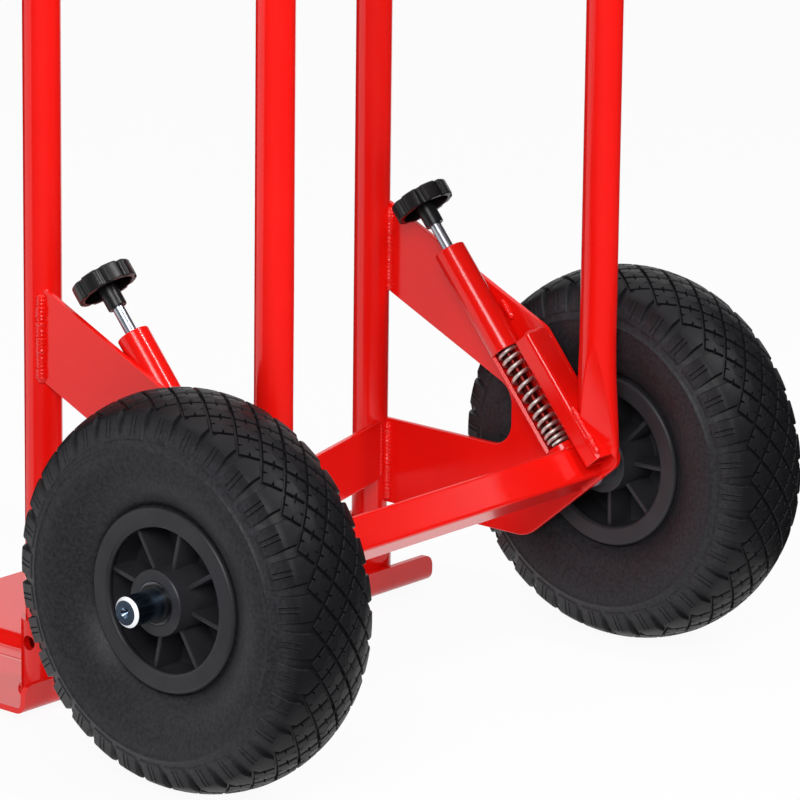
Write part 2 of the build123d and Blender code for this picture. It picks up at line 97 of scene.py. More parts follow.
def linear(hex_colour: str) -> tuple[float, float, float, float]:
    """Turns an sRGB hex colour into linear RGBA.

    Args:
        hex_colour: six hex digits after a hash sign.

    Returns:
        The linear colour with full alpha.
    """
    channels = [int(hex_colour[i : i + 2], 16) / 255 for i in (1, 3, 5)]
    flat = [c / 12.92 if c <= 0.04045 else ((c + 0.055) / 1.055) ** 2.4 for c in channels]
    return (*flat, 1.0)


def add_node(tree: bpy.types.NodeTree, kind: str, inputs: dict | None = None, **settings) -> bpy.types.Node:
    """Adds a shader node.

    Args:
        tree: the node tree it goes into.
        kind: the node's type name.
        inputs: values, or output sockets, for its inputs by name or number.
        settings: values for its properties.

    Returns:
        The new node.
    """
    made = tree.nodes.new(kind)
    for key, value in settings.items():
        setattr(made, key, value)
    for key, value in (inputs or {}).items():
        if isinstance(value, bpy.types.NodeSocket):
            tree.links.new(value, made.inputs[key])
        else:
            made.inputs[key].default_value = value
    return made


def calculate(tree: bpy.types.NodeTree, operation: str, *values) -> bpy.types.NodeSocket:
    """Adds a math node and returns its result, from numbers or sockets in order."""
    made = add_node(tree, "ShaderNodeMath", dict(enumerate(values)), operation=operation)
    return made.outputs["Value"]


def remap(
    tree: bpy.types.NodeTree, value: bpy.types.NodeSocket, old: tuple[float, float], new: tuple[float, float]
) -> bpy.types.NodeSocket:
    """Adds a map-range node and returns its result.

    Args:
        tree: the node tree it goes into.
        value: the socket to map.
        old: the two values that are mapped.
        new: the two values that they become.

    Returns:
        The socket with the mapped value, held within the new range.
    """
    ends = {"From Min": old[0], "From Max": old[1], "To Min": new[0], "To Max": new[1]}
    return add_node(tree, "ShaderNodeMapRange", {**ends, "Value": value}).outputs["Result"]


def box_mm(node: str) -> tuple[Vector, Vector]:
    """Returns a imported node's lowest and highest corners in millimetres."""
    low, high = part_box(node)
    return low / MM, high / MM


def axle_distance(tree: bpy.types.NodeTree, place: bpy.types.NodeSocket) -> bpy.types.NodeSocket:
    """Returns a socket with the distance in metres of a place from the axle's line."""
    low, high = box_mm("axle")
    middle = (low + high) / 2 * MM
    kind = "ShaderNodeVectorMath"
    across = add_node(tree, kind, {0: place, 1: (0.0, 1.0, 1.0)}, operation="MULTIPLY").outputs["Vector"]
    line = (0.0, middle.y, middle.z)
    return add_node(tree, kind, {0: across, 1: line}, operation="DISTANCE").outputs["Value"]


class Measure(Enum):
    """What the place of a zone is measured by."""

    HEIGHT = auto()
    RADIUS = auto()
    BEVEL = auto()


@dataclass(frozen=True)
class Zone:
    """Part of a surface with a colour laid over it: a painted highlight on the axle's bevels, painted shade on the
    rods and a darker tread on the tyres.

    By height or by radius from the axle, the colour comes in from start and covers all at full. On the axle's
    bevels it covers what lies between start and full along the axle, outside the inner radius.
    """

    measure: Measure
    colour: str
    start: float
    full: float
    inner_r: float = 0.0
    metallic: float | None = None

    def share(self, tree: bpy.types.NodeTree, place: bpy.types.NodeSocket) -> bpy.types.NodeSocket:
        """Returns a socket that is 1 where the zone covers the surface and 0 where it doesn't."""
        parts = add_node(tree, "ShaderNodeSeparateXYZ", {"Vector": place}).outputs
        if self.measure is Measure.BEVEL:
            middle, reach = (self.start + self.full) / 2 * MM, (self.full - self.start) / 2 * MM
            along = calculate(tree, "COMPARE", calculate(tree, "ABSOLUTE", parts["X"]), middle, reach)
            outside = calculate(tree, "GREATER_THAN", axle_distance(tree, place), self.inner_r * MM)
            return calculate(tree, "MULTIPLY", along, outside)
        by_radius = self.measure is Measure.RADIUS
        value = axle_distance(tree, place) if by_radius else parts["Z"]
        return remap(tree, value, (self.start * MM, self.full * MM), (0.0, 1.0))


@dataclass(frozen=True)
class Finish:
    """A real surface: its colours, gloss and relief, with pattern sizes in millimetres."""

    name: str
    slot: str
    colour: str
    second: str
    patch: float
    roughness: float
    rough_swing: float
    grain: float
    relief: float
    metallic: float = 0.0
    ior: float = 1.5
    stretch: tuple[float, float, float] = (1.0, 1.0, 1.0)
    specular: float = 0.5
    zone: Zone | None = None

    def material(self) -> bpy.types.Material:
        """Returns the finish's material, which is made the first time it is asked for."""
        known = bpy.data.materials.get(self.name)
        if known:
            return known
        made = bpy.data.materials.new(self.name)
        made.use_nodes = True
        tree = made.node_tree
        shader = tree.nodes["Principled BSDF"].inputs
        shader["Metallic"].default_value = self.metallic
        shader["IOR"].default_value = self.ior
        shader["Specular IOR Level"].default_value = self.specular
        self.paint(tree, shader)
        self.texture(tree, shader)
        return made

    def paint(self, tree: bpy.types.NodeTree, shader: bpy.types.bpy_prop_collection) -> None:
        """Sets the patchy colour, and the zone's colour over it."""
        place = add_node(tree, "ShaderNodeTexCoord").outputs["Object"]
        look = {"Vector": place, "Scale": 1 / (self.patch * MM), **PATCH_NOISE}
        patches = add_node(tree, "ShaderNodeTexNoise", look)
        ramp = add_node(tree, "ShaderNodeValToRGB", {"Fac": patches.outputs["Fac"]})
        stops = zip(PATCH_STOPS, (self.second, self.colour))
        for element, (position, colour) in zip(ramp.color_ramp.elements, stops):
            element.position = position
            element.color = linear(colour)
        skin = ramp.outputs["Color"]
        if self.zone:
            share = self.zone.share(tree, place)
            colours = {"Factor": share, "A": skin, "B": linear(self.zone.colour)}
            skin = add_node(tree, "ShaderNodeMix", colours, data_type="RGBA").outputs["Result"]
            if self.zone.metallic is not None:
                bare = remap(tree, share, (0.0, 1.0), (self.metallic, self.zone.metallic))
                tree.links.new(bare, shader["Metallic"])
        tree.links.new(skin, shader["Base Color"])

    def texture(self, tree: bpy.types.NodeTree, shader: bpy.types.bpy_prop_collection) -> None:
        """Sets the fine grain that swings the gloss and stands out as relief."""
        place = add_node(tree, "ShaderNodeTexCoord").outputs["Object"]
        stretched = {"Vector": place, "Scale": self.stretch}
        spread = add_node(tree, "ShaderNodeMapping", stretched).outputs["Vector"]
        look = {"Vector": spread, "Scale": 1 / (self.grain * MM), **GRAIN_NOISE}
        grain = add_node(tree, "ShaderNodeTexNoise", look).outputs["Fac"]
        swing = (self.roughness - self.rough_swing, self.roughness + self.rough_swing)
        tree.links.new(remap(tree, grain, GRAIN_RANGE, swing), shader["Roughness"])
        relief = {"Strength": 1.0, "Distance": self.relief * MM, "Height": grain}
        bump = add_node(tree, "ShaderNodeBump", relief)
        tree.links.new(bump.outputs["Normal"], shader["Normal"])


# Powder coat baked on steel: a glossy red skin with a faint orange-peel ripple, drawn 2 mm wide to show.
RED_PAINT = Finish(
    "powder_coat_red", "red_paint", "#EE150E", "#EA120C",
    patch=70.0, roughness=0.17, rough_swing=0.03, grain=2.2, relief=0.014, specular=0.45,
)
# Bright zinc plate on drawn bar: cool grey with fine streaks along the bar.
ZINC = Finish(
    "zinc_plate_bright", "zinc_steel", "#BCC4CE", "#A9B2BE",
    patch=9.0, roughness=0.36, rough_swing=0.04, grain=1.2, relief=0.002, metallic=1.0,
    stretch=(0.15, 1.0, 1.0),
)
# The same plate on the axle: smoother and bluer, with a painted highlight on its end bevels, which are coloured
# matt white.
AXLE_STEEL = Finish(
    "zinc_plate_blue_painted_highlight", "zinc_steel", "#7F93AB", "#6F839B",
    patch=9.0, roughness=0.24, rough_swing=0.03, grain=1.2, relief=0.001, metallic=1.0,
    # Painted highlight: the end bevels are white and not metallic.
    zone=Zone(Measure.BEVEL, "#F2F4F7", start=283.0, full=284.97, inner_r=7.6, metallic=0.0),
)
# The plunger rods: plated bar, with painted shade in dark red-brown on the length inside the spring. It stands for
# the shade in the coil and the red guide tube reflected there.
ROD = Finish(
    "zinc_plate_painted_shade", "zinc_steel", "#BCC4CE", "#A9B2BE",
    patch=9.0, roughness=0.34, rough_swing=0.04, grain=1.2, relief=0.002, metallic=1.0,
    # Painted shade and reflection: dark red-brown from the spring's top downward.
    zone=Zone(Measure.HEIGHT, "#5A1A18", start=236.0, full=222.0),
)
# Zinc-plated spring wire: paler and a little duller than the bar, with no clear direction.
SPRING_WIRE = Finish(
    "zinc_plate_wire", "zinc_steel", "#E2DEDA", "#D2CECA",
    patch=6.0, roughness=0.5, rough_swing=0.05, grain=0.8, relief=0.004, metallic=1.0,
)
# Ground bearing steel: darker, smooth grey.
BEARING_STEEL = Finish(
    "ground_bearing_steel", "bearing_steel", "#8D8F93", "#7B7D82",
    patch=5.0, roughness=0.3, rough_swing=0.05, grain=0.7, relief=0.008, metallic=1.0,
)
# Moulded black nylon: satin, with the fine spark texture of the mould.
NYLON = Finish(
    "moulded_black_nylon", "black_nylon", "#18181A", "#131315",
    patch=30.0, roughness=0.34, rough_swing=0.05, grain=0.8, relief=0.02, ior=1.53, specular=0.35,
)
# Moulded rim plastic: greyer and duller than the knobs, with the same spark texture.
RIM_PLASTIC = Finish(
    "moulded_grey_black_plastic", "black_nylon", "#303034", "#28282C",
    patch=30.0, roughness=0.42, rough_swing=0.05, grain=0.8, relief=0.02, specular=0.3,
)
# Moulded tyre rubber: satin black with a finely pebbled skin, darker over the tread than on the sidewalls.
TYRE = Finish(
    "moulded_tyre_rubber", "tyre_rubber", "#2E2E32", "#1C1C1F",
    patch=2.4, roughness=0.46, rough_swing=0.06, grain=1.1, relief=0.1, ior=1.52, specular=0.18,
    # Darker from 110 mm radius outward, over the tread and shoulders.
    zone=Zone(Measure.RADIUS, "#161619", start=110.0, full=119.0),
)
# Soft grip rubber: matt black with a fine pebble.
GRIP = Finish(
    "soft_grip_rubber", "grip_rubber", "#252527", "#1F1F20",
    patch=15.0, roughness=0.6, rough_swing=0.05, grain=1.0, relief=0.05, ior=1.52, specular=0.3,
)
SLOT_FINISHES = {
    "red_paint": RED_PAINT,
    "zinc_steel": ZINC,
    "bearing_steel": BEARING_STEEL,
    "black_nylon": NYLON,
    "tyre_rubber": TYRE,
    "grip_rubber": GRIP,
}
NODE_FINISHES = {"axle": AXLE_STEEL, "plunger_rod_left": ROD, "plunger_rod_right": ROD}


def offset_loop(loop: Loop, grow: float) -> Loop:
    """Moves every side of a closed outline outwards.

    Args:
        loop: corners, counter-clockwise round metal and clockwise round a hole.
        grow: distance to move, negative to shrink the metal.

    Returns:
        The moved corners, as many as before.
    """
    moved = []
    for index, (x, y) in enumerate(loop):
        before, after = loop[index - 1], loop[(index + 1) % len(loop)]
        come = Vector((x - before[0], y - before[1])).normalized()
        go = Vector((after[0] - x, after[1] - y)).normalized()
        out = Vector((come.y + go.y, -come.x - go.x)) / max(1 + come.dot(go), 0.2)
        moved.append((x + out.x * grow, y + out.y * grow))
    return moved


def round_corners(corners: Sequence[Point], radii: Sequence[float], step: float = 9.0) -> Loop:
    """Rounds the corners of a closed outline.

    Args:
        corners: the sharp corners in order.
        radii: the radius at each corner, 0 to leave it sharp.
        step: degrees of arc between points.

    Returns:
        The outline with arcs in place of the rounded corners.
    """
    rounded = []
    for index, (corner, radius) in enumerate(zip(corners, radii)):
        here = Vector(corner)
        if radius <= 0:
            rounded.append((here.x, here.y))
            continue
        back = (Vector(corners[index - 1]) - here).normalized()
        ahead = (Vector(corners[(index + 1) % len(corners)]) - here).normalized()
        half = back.angle(ahead) / 2
        centre = here + (back + ahead).normalized() * radius / sin(half)
        start = here + back * radius / tan(half) - centre
        end = here + ahead * radius / tan(half) - centre
        first = atan2(start.y, start.x)
        sweep = (atan2(end.y, end.x) - first + pi) % (2 * pi) - pi
        count = max(2, ceil(abs(sweep) / radians(step)))
        for tick in range(count + 1):
            angle = first + sweep * tick / count
            rounded.append((centre.x + radius * cos(angle), centre.y + radius * sin(angle)))
    return rounded


def crossing(a: Point, a_deg: float, b: Point, b_deg: float) -> Point:
    """Returns the point where two lines cross, each given by a point and its angle in degrees."""
    ax, ay = cos(radians(a_deg)), sin(radians(a_deg))
    bx, by = cos(radians(b_deg)), sin(radians(b_deg))
    run = ((b[0] - a[0]) * by - (b[1] - a[1]) * bx) / (ax * by - ay * bx)
    return (a[0] + run * ax, a[1] + run * ay)


def ease(low: float, high: float, value: float) -> float:
    """Returns a smooth step from 0 at low to 1 at high."""
    share = min(max((value - low) / (high - low), 0.0), 1.0)
    return share * share * (3 - 2 * share)


@dataclass
class Draft:
    """A mesh while it is drawn: points in millimetres in the truck's frame, and faces by index."""

    points: list[Vector] = field(default_factory=list)
    faces: list[tuple[int, ...]] = field(default_factory=list)

    def loft(self, rings: Sequence[Sequence[Vector]], wrap: bool = False, cap: bool = True) -> None:
        """Skins a row of closed rings that have equally many points.

        Args:
            rings: the rings in order.
            wrap: joins the last ring to the first.
            cap: closes both ends of a row that isn't wrapped.
        """
        first, size = len(self.points), len(rings[0])
        for ring in rings:
            self.points.extend(ring)
        for row in range(len(rings) if wrap else len(rings) - 1):
            here, there = first + row * size, first + (row + 1) % len(rings) * size
            for col in range(size):
                after = (col + 1) % size
                self.faces.append((here + col, here + after, there + after, there + col))
        if cap and not wrap:
            last = first + (len(rings) - 1) * size
            self.faces.append(tuple(range(first, first + size)))
            self.faces.append(tuple(range(last, last + size)))

    def slab(
        self, loops: Sequence[Loop], depth: float, place: Placer, edge: float = 0.8, rows: int = 3
    ) -> None:
        """Adds a flat blank with rounded edges.

        Args:
            loops: the outline counter-clockwise, then any holes clockwise.
            depth: thickness of the blank.
            place: maps outline coordinates and depth into the truck's frame.
            edge: radius of the rounded edges.
            rows: steps in that radius.
        """
        turns = [pi / 2 * row / rows for row in range(rows + 1)]
        near = [(edge * (1 - sin(turn)), edge * (1 - cos(turn))) for turn in turns]
        levels = near + [(inset, depth - down) for inset, down in reversed(near)]
        for loop in loops:
            rings = [[place(x, y, w) for x, y in offset_loop(loop, -inset)] for inset, w in levels]
            self.loft(rings, cap=False)
        for inset, w in (levels[0], levels[-1]):
            flat = [[Vector((x, y, 0)) for x, y in offset_loop(loop, -inset)] for loop in loops]
            start = len(self.points)
            self.points.extend(place(point.x, point.y, w) for loop in flat for point in loop)
            self.faces.extend(tuple(start + i for i in triple) for triple in tessellate_polygon(flat))

    def lathe(self, profile: Loop, place: Placer, segments: int = 96, closed: bool = True) -> None:
        """Turns a profile of radius and height round an axis.

        Args:
            profile: radius and height of each point.
            place: maps two coordinates across the axis and one along it into the truck's frame.
            segments: points round each ring.
            closed: joins the profile's end to its start.
        """
        angles = [2 * pi * step / segments for step in range(segments)]
        rings = [[place(r * cos(a), r * sin(a), h) for a in angles] for r, h in profile]
        self.loft(rings, wrap=closed, cap=False)

    def cord(
        self, path: Sequence[Vector], normals: Sequence[Vector], radii: Sequence[float], sides: int
    ) -> None:
        """Sweeps a round section along a path.

        Args:
            path: centre points.
            normals: a direction across the path at each point.
            radii: radius at each point.
            sides: points round the section.
        """
        angles = [2 * pi * step / sides for step in range(sides)]
        rings = []
        for index, (centre, normal, radius) in enumerate(zip(path, normals, radii)):
            way = (path[min(index + 1, len(path) - 1)] - path[max(index - 1, 0)]).normalized()
            across = (normal - way * normal.dot(way)).normalized()
            other = way.cross(across)
            rings.append([centre + (across * cos(a) + other * sin(a)) * radius for a in angles])
        self.loft(rings)


def make_piece(
    name: str, draft: Draft, finish: Finish, body: str, replaced: Iterable[str] = (), crease: float = 35.0
) -> bpy.types.Object:
    """Turns a draft into a shaded piece that rides on a body.

    Args:
        name: the piece's name.
        draft: its points and faces.
        finish: its surface.
        body: the body that it moves with.
        replaced: nodes that it stands for.
        crease: edges sharper than this many degrees stay sharp.

    Returns:
        The new object.
    """
    mesh = bpy.data.meshes.new(name)
    mesh.from_pydata([point * MM for point in draft.points], [], draft.faces)
    work = bmesh.new()
    work.from_mesh(mesh)
    bmesh.ops.remove_doubles(work, verts=work.verts, dist=MERGE * MM)
    bmesh.ops.recalc_face_normals(work, faces=work.faces)
    for face in work.faces:
        face.smooth = True
    for edge in work.edges:
        edge.smooth = len(edge.link_faces) == 2 and edge.calc_face_angle(0.0) < radians(crease)
    work.to_mesh(mesh)
    work.free()
    piece = bpy.data.objects.new(name, mesh)
    bpy.context.scene.collection.objects.link(piece)
    mesh.materials.append(finish.material())
    weights = piece.modifiers.new("flat_faces", "WEIGHTED_NORMAL")
    weights.keep_sharp = True
    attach(piece, body)
    if replaced:
        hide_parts(*replaced)
    LOG.info("%s: %d faces on %s", name, len(mesh.polygons), body)
    return piece


@dataclass
class Layout:
    """Places of the truck's parts in millimetres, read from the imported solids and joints."""

    axle: Vector
    lean: float
    tube_x: float
    tube_r: float
    front_y: float
    rear_y: float
    bend_z: float
    plate_in: float
    plate_out: float
    plunger_x: float

    @classmethod
    def read(cls) -> "Layout":
        """Reads the layout from the frame."""
        joints = {joint["name"]: joint for joint in frame["joints"]}
        hub = Vector(joints["wheel_right_spin"]["pos_m"]) / MM
        pull = joints["plunger_right_pull"]["axis"]
        front_low, front_high = box_mm("front_upright_right")
        bend_low, _ = box_mm("handle_bend_right")
        plate_low, plate_high = box_mm("side_plate_right")
        rod_low, rod_high = box_mm("plunger_rod_right")
        tube_r = (front_high.x - front_low.x) / 2
        return cls(
            axle=Vector((0, hub.y, hub.z)),
            lean=atan2(pull[1], pull[2]),
            tube_x=(front_low.x + front_high.x) / 2,
            tube_r=tube_r,
            front_y=(front_low.y + front_high.y) / 2,
            rear_y=bend_low.y + tube_r,
            bend_z=front_high.z,
            plate_in=plate_low.x,
            plate_out=plate_high.x,
            plunger_x=(rod_low.x + rod_high.x) / 2,
        )

    def slope(self, x: float, q: float, s: float) -> Vector:
        """Point x across, q behind and s along the plungers' slope, from the axle."""
        up = Vector((0, sin(self.lean), cos(self.lean)))
        rear = Vector((0, -cos(self.lean), sin(self.lean)))
        return self.axle + Vector((x, 0, 0)) + rear * q + up * s

    def slope_yz(self, q: float, s: float) -> tuple[float, float]:
        """Distances forward of and above the axle of a point on the plungers' slope."""
        point = self.slope(0, q, s) - self.axle
        return (point.y, point.z)


@dataclass
class Wheel:
    """One wheel: a foam-filled tyre with a diamond tread on a moulded rim."""

    side: Side
    layout: Layout
    crown_r: float = 129.9
    shoulder_r: float = 120.0
    shoulder_half: float = 33.0
    shoulder_round: float = 3.0
    ring_r: float = 100.0
    ring_half: float = 41.4
    ring_w: float = 0.8
    ring_h: float = 0.55
    belly_r: float = 90.25
    lip_r: float = 60.6
    bead_half: float = 24.9
    seat_r: float = 54.1
    step: float = 0.5
    crown_rows: int = 14
    wall_rows: int = 10
    side_rows: int = 18
    segments: int = 160
    depth: float = 2.3
    edge: float = 0.45
    block_flare: float = 0.3
    block_sink: float = 0.5
    columns: int = 32
    turn: float = 7.3
    rows: int = 3
    reach: float = 29.0
    groove: float = 2.1
    slit_w: float = 0.8
    slit_l: float = 2.4
    lug_half: float = 8.3
    lug_length: float = 16.5
    lug_slope: float = 0.8
    lug_sink: float = 0.4
    lug_bend: float = 1.5
    lug_round: float = 0.9
    trough: float = 0.9
    trough_starts: tuple[float, float] = (-7.0, -1.0)
    trough_ends: tuple[float, float] = (4.0, 14.0)
    cut_at: float = 1.7
    cut_w: float = 0.7
    cut_flank: float = 2.2
    cut_depth: float = 0.9
    cut_lip: float = 0.3
    cut_start: float = 1.0
    cut_length: float = 12.5
    cut_rows: int = 5
    cut_ramp_in: float = 0.8
    cut_ramp_out: float = 0.6
    mould_line_r: float = 129.97
    mould_line_half: float = 0.15
    rim_half: float = 30.0
    rim_segments: int = 128
    flange_r: float = 60.4
    flange_w: float = 5.0
    well_r: float = 49.0
    well_drop: float = 1.2
    lip_open: float = 46.8
    lip_edge: float = 0.6
    lip_rows: int = 4
    flange_rows: int = 8
    web_half: float = 2.5
    fillet: tuple[Point, ...] = ((0.6, 3.0), (1.5, 0.9), (3.4, 0.0))
    hub_r: float = 21.5
    hub_half: float = 36.5
    hub_edge: float = 0.8
    bore_r: float = 14.05
    bore_edge: float = 0.6
    ribs: int = 8
    rib_w: float = 3.2
    rib_edge: float = 0.7
    rib_setback: float = 5.0
    rib_bite: float = 1.0
    rib_sink: float = 0.5
    rib_turn_left: float = 13.0
    rib_turn_right: float = -1.0

    def __post_init__(self) -> None:
        """Works out the tyre's section from its sizes."""
        low, high = box_mm(f"tyre_{self.side.tag}")
        self.centre = Vector(((low.x + high.x) / 2, self.layout.axle.y, self.layout.axle.z))
        self.section = self.tread_section()
        self.section += self.sidewall()

    def tread_section(self) -> list[Vector]:
        """Works out the section from the crown's middle to the ring, with a rounded shoulder.

        Returns:
            Axial place and radius at every step.
        """
        sag = self.crown_r - self.shoulder_r
        curve = (self.shoulder_half**2 + sag**2) / (2 * sag)
        self.crown_length = curve * asin(self.shoulder_half / curve)
        wall = Vector((self.ring_half - self.shoulder_half, self.ring_r - self.shoulder_r))
        self.ring_along = self.crown_length + wall.length
        reach = ceil(self.shoulder_round / self.step)
        raw = []
        for tick in range(-reach, int(self.ring_along / self.step) + reach + 1):
            run = tick * self.step
            if run <= self.crown_length:
                turn = run / curve
                raw.append(Vector((curve * sin(turn), self.crown_r - curve + curve * cos(turn))))
            else:
                beyond = wall.normalized() * (run - self.crown_length)
                raw.append(Vector((self.shoulder_half, self.shoulder_r)) + beyond)
        window = 2 * reach + 1
        starts = range(len(raw) - 2 * reach)
        return [sum(raw[start : start + window], Vector((0, 0))) / window for start in starts]

    def sidewall(self) -> list[Vector]:
        """Works out the round sidewall from the ring to the rim.

        Returns:
            Axial place and radius at every step after the ring.
        """
        middle_r = (self.ring_r + self.belly_r) / 2
        gap = (self.lip_r - middle_r) ** 2 - (self.ring_r - middle_r) ** 2
        middle_x = (gap + self.bead_half**2 - self.ring_half**2) / (2 * (self.bead_half - self.ring_half))
        middle = Vector((middle_x, middle_r))
        start = Vector((self.ring_half, self.ring_r)) - middle
        end = Vector((self.bead_half, self.lip_r)) - middle
        first = atan2(start.y, start.x)
        sweep = atan2(end.y, end.x) - first
        ticks = int(abs(sweep) * start.length / self.step)
        angles = [first + sweep * tick / ticks for tick in range(1, ticks + 1)]
        return [middle + Vector((cos(angle), sin(angle))) * start.length for angle in angles]

    def at(self, a: float, b: float, outward: float) -> Vector:
        """Point a and b across the axle and outward along it, from the wheel's centre."""
        return self.centre + Vector((self.side.sign * outward, a, b))

    def skin(self, along: float, lift: float) -> tuple[float, float]:
        """Radius and axial place of a point on the tyre's outside.

        Args:
            along: distance over the tyre from the middle of its crown, negative on the inner side.
            lift: height above the surface.

        Returns:
            The radius and the distance outward from the wheel's middle.
        """
        place = min(abs(along) / self.step, len(self.section) - 1.001)
        index = int(place)
        here, there = self.section[index], self.section[index + 1]
        before = self.section[index - 1] if index else Vector((-here.x, here.y)) - Vector((self.step, 0))
        after = self.section[min(index + 2, len(self.section) - 1)]
        way = (there - before).lerp(after - here, place - index).normalized()
        point = here.lerp(there, place - index) + Vector((-way.y, way.x)) * lift
        return point.y, point.x if along >= 0 else -point.x

    def floor(self, along: float) -> float:
        """Height of the tyre's body under the tread at a distance from the crown's middle."""
        run = abs(along) - self.crown_length
        share = min(max(1 - run / (self.ring_along - self.crown_length), 0.0), 1.0)
        trough = ease(*self.trough_starts, run) * (1 - ease(*self.trough_ends, run))
        return -self.depth * share - self.trough * trough

    def tread_point(self, around: float, along: float, lift: float) -> Vector:
        """Point on the tread, around the crown and along its section, at a height above it."""
        radius, outward = self.skin(along, lift)
        angle = radians(self.turn) + around / self.crown_r
        return self.at(radius * cos(angle), radius * sin(angle), outward)

    def carcass(self, draft: Draft) -> None:
        """Adds the tyre's body, at the depth of the grooves under the tread."""
        wall = self.ring_along - self.crown_length - self.ring_w
        runs = [self.crown_length * k / self.crown_rows for k in range(self.crown_rows + 1)]
        runs += [self.crown_length + wall * k / self.wall_rows for k in range(1, self.wall_rows + 1)]
        half = [(run, self.floor(run)) for run in runs]
        half += [(self.ring_along + share * self.ring_w, self.ring_h) for share in (-0.4, 0.4)]
        start = self.ring_along + self.ring_w
        rest = (len(self.section) - 1) * self.step - start
        half += [(start + rest * k / self.side_rows, 0.0) for k in range(self.side_rows + 1)]
        outer = [self.skin(run, lift) for run, lift in reversed(half)]
        inner = [self.skin(-run, lift) for run, lift in half[1:]]
        bead = [(self.seat_r, -self.bead_half), (self.seat_r, self.bead_half)]
        draft.lathe(outer + inner + bead, self.at, self.segments)

    def block(self, draft: Draft, loop: Loop, around: float, along: float) -> None:
        """Adds one tread block.

        Args:
            draft: the mesh it joins.
            loop: its outline round its own middle.
            around: where its middle lies round the crown.
            along: where its middle lies across the tread.
        """
        sunk = -self.depth - self.block_sink
        first, size = len(draft.points), len(loop)
        rings = []
        for grow, lift in ((self.block_flare, sunk), (0.0, -self.edge), (-self.edge, 0.0)):
            outline = offset_loop(loop, grow)
            rings.append([self.tread_point(around + x, along + y, lift) for x, y in outline])
        draft.loft(rings, cap=False)
        middle = (sum(x for x, _ in loop) / size, sum(y for _, y in loop) / size)
        for start, lift in ((first, sunk), (first + 2 * size, 0.0)):
            draft.points.append(self.tread_point(around + middle[0], along + middle[1], lift))
            tip = len(draft.points) - 1
            draft.faces.extend((start + i, start + (i + 1) % size, tip) for i in range(size))

    def diamond(self, half_u: float, half_v: float) -> Loop:
        """Outline of a tread block with a slit in the middle of each side."""
        inner = half_u * half_v / hypot(half_u, half_v)
        share = 1 - self.groove / 2 / inner
        tips = [(half_u * share, 0.0), (0.0, half_v * share), (-half_u * share, 0.0), (0.0, -half_v * share)]
        loop = []
        for start, end in zip(tips, tips[1:] + tips[:1]):
            way = (Vector(end) - Vector(start)).normalized()
            inward = Vector((-way.y, way.x))
            middle = (Vector(start) + Vector(end)) / 2
            near, far = middle - way * self.slit_w / 2, middle + way * self.slit_w / 2
            corners = (near, near + inward * self.slit_l, far + inward * self.slit_l, far)
            loop.append(start)
            loop.extend((corner.x, corner.y) for corner in corners)
        return loop

    def lug(self, draft: Draft, around: float, sign: int, tip: float, corner: float) -> None:
        """Adds one shoulder lug, from its point between two diamonds over the shoulder and down the sidewall.

        Args:
            draft: the mesh it joins.
            around: where its middle lies round the crown.
            sign: 1 on the outer shoulder, -1 on the inner one.
            tip: distance of its point from the crown's middle.
            corner: distance where it reaches its full width.
        """
        shoulder, end = self.crown_length, self.crown_length + self.lug_length
        cut_from = shoulder + self.cut_start
        cut_to = cut_from + self.cut_length
        stops = [tip, (tip + corner) / 2, corner, (corner + shoulder) / 2, shoulder - self.lug_bend]
        stops += [cut_from - self.cut_ramp_in, cut_from]
        stops += [cut_from + self.cut_length * k / self.cut_rows for k in range(1, self.cut_rows + 1)]
        stops += [cut_to + self.cut_ramp_out, end - self.lug_round, end]
        rings = []
        for stop in stops:
            radius, _ = self.skin(stop, 0.0)
            half = self.lug_half * min(1.0, max((stop - tip) / (corner - tip), 0.01))
            foot = self.floor(stop) - self.lug_sink
            edge = min(self.edge, half / 2)
            cut = self.cut_depth if cut_from <= stop <= cut_to + 0.01 else 0.0
            profile = [(-half - self.lug_slope, foot), (-half, -edge), (-half + edge, 0.0)]
            for side in (-1, 1):
                middle = side * min(self.cut_at, half / 3)
                reach = min(self.cut_w / 2, half / 8)
                flank, lip = self.cut_flank * reach, cut * self.cut_lip
                profile += [(middle - flank, 0.0), (middle - reach, lip), (middle, -cut)]
                profile += [(middle + reach, lip), (middle + flank, 0.0)]
            profile += [(half - edge, 0.0), (half, -edge), (half + self.lug_slope, foot)]
            sink = self.floor(stop) - 0.1 if stop == end else 0.0
            scale = self.crown_r / radius
            row = [(around + u * scale, max(lift + sink, foot)) for u, lift in profile]
            rings.append([self.tread_point(u, sign * stop, lift) for u, lift in row])
        draft.loft(rings)

    def tyre(self) -> None:
        """Makes the tyre with its tread blocks, shoulder lugs and mould line."""
        draft = Draft()
        self.carcass(draft)
        pitch = 2 * pi * self.crown_r / self.columns
        row = self.reach / self.rows
        diamond = self.diamond(pitch / 2, row)
        share = diamond[0][0] / (pitch / 2)
        tip = self.reach - row * share
        corner = self.reach - row * share * (1 - self.lug_half / (pitch / 2 * share))
        for column in range(self.columns):
            for line in range(1 - self.rows, self.rows):
                shift = 0.5 if line % 2 else 0.0
                self.block(draft, diamond, (column + shift) * pitch, line * row)
            for sign in (1, -1):
                self.lug(draft, (column + self.rows % 2 / 2) * pitch, sign, tip, corner)
        foot, top, half = self.crown_r - self.depth, self.mould_line_r, self.mould_line_half
        ridge = [(foot, 2 * half), (top, half), (top, -half), (foot, -2 * half)]
        draft.lathe(ridge, self.at, self.segments)
        tag = self.side.tag
        make_piece(f"tyre_{tag}_tread", draft, TYRE, f"wheel_{tag}", [f"tyre_{tag}"], 50)

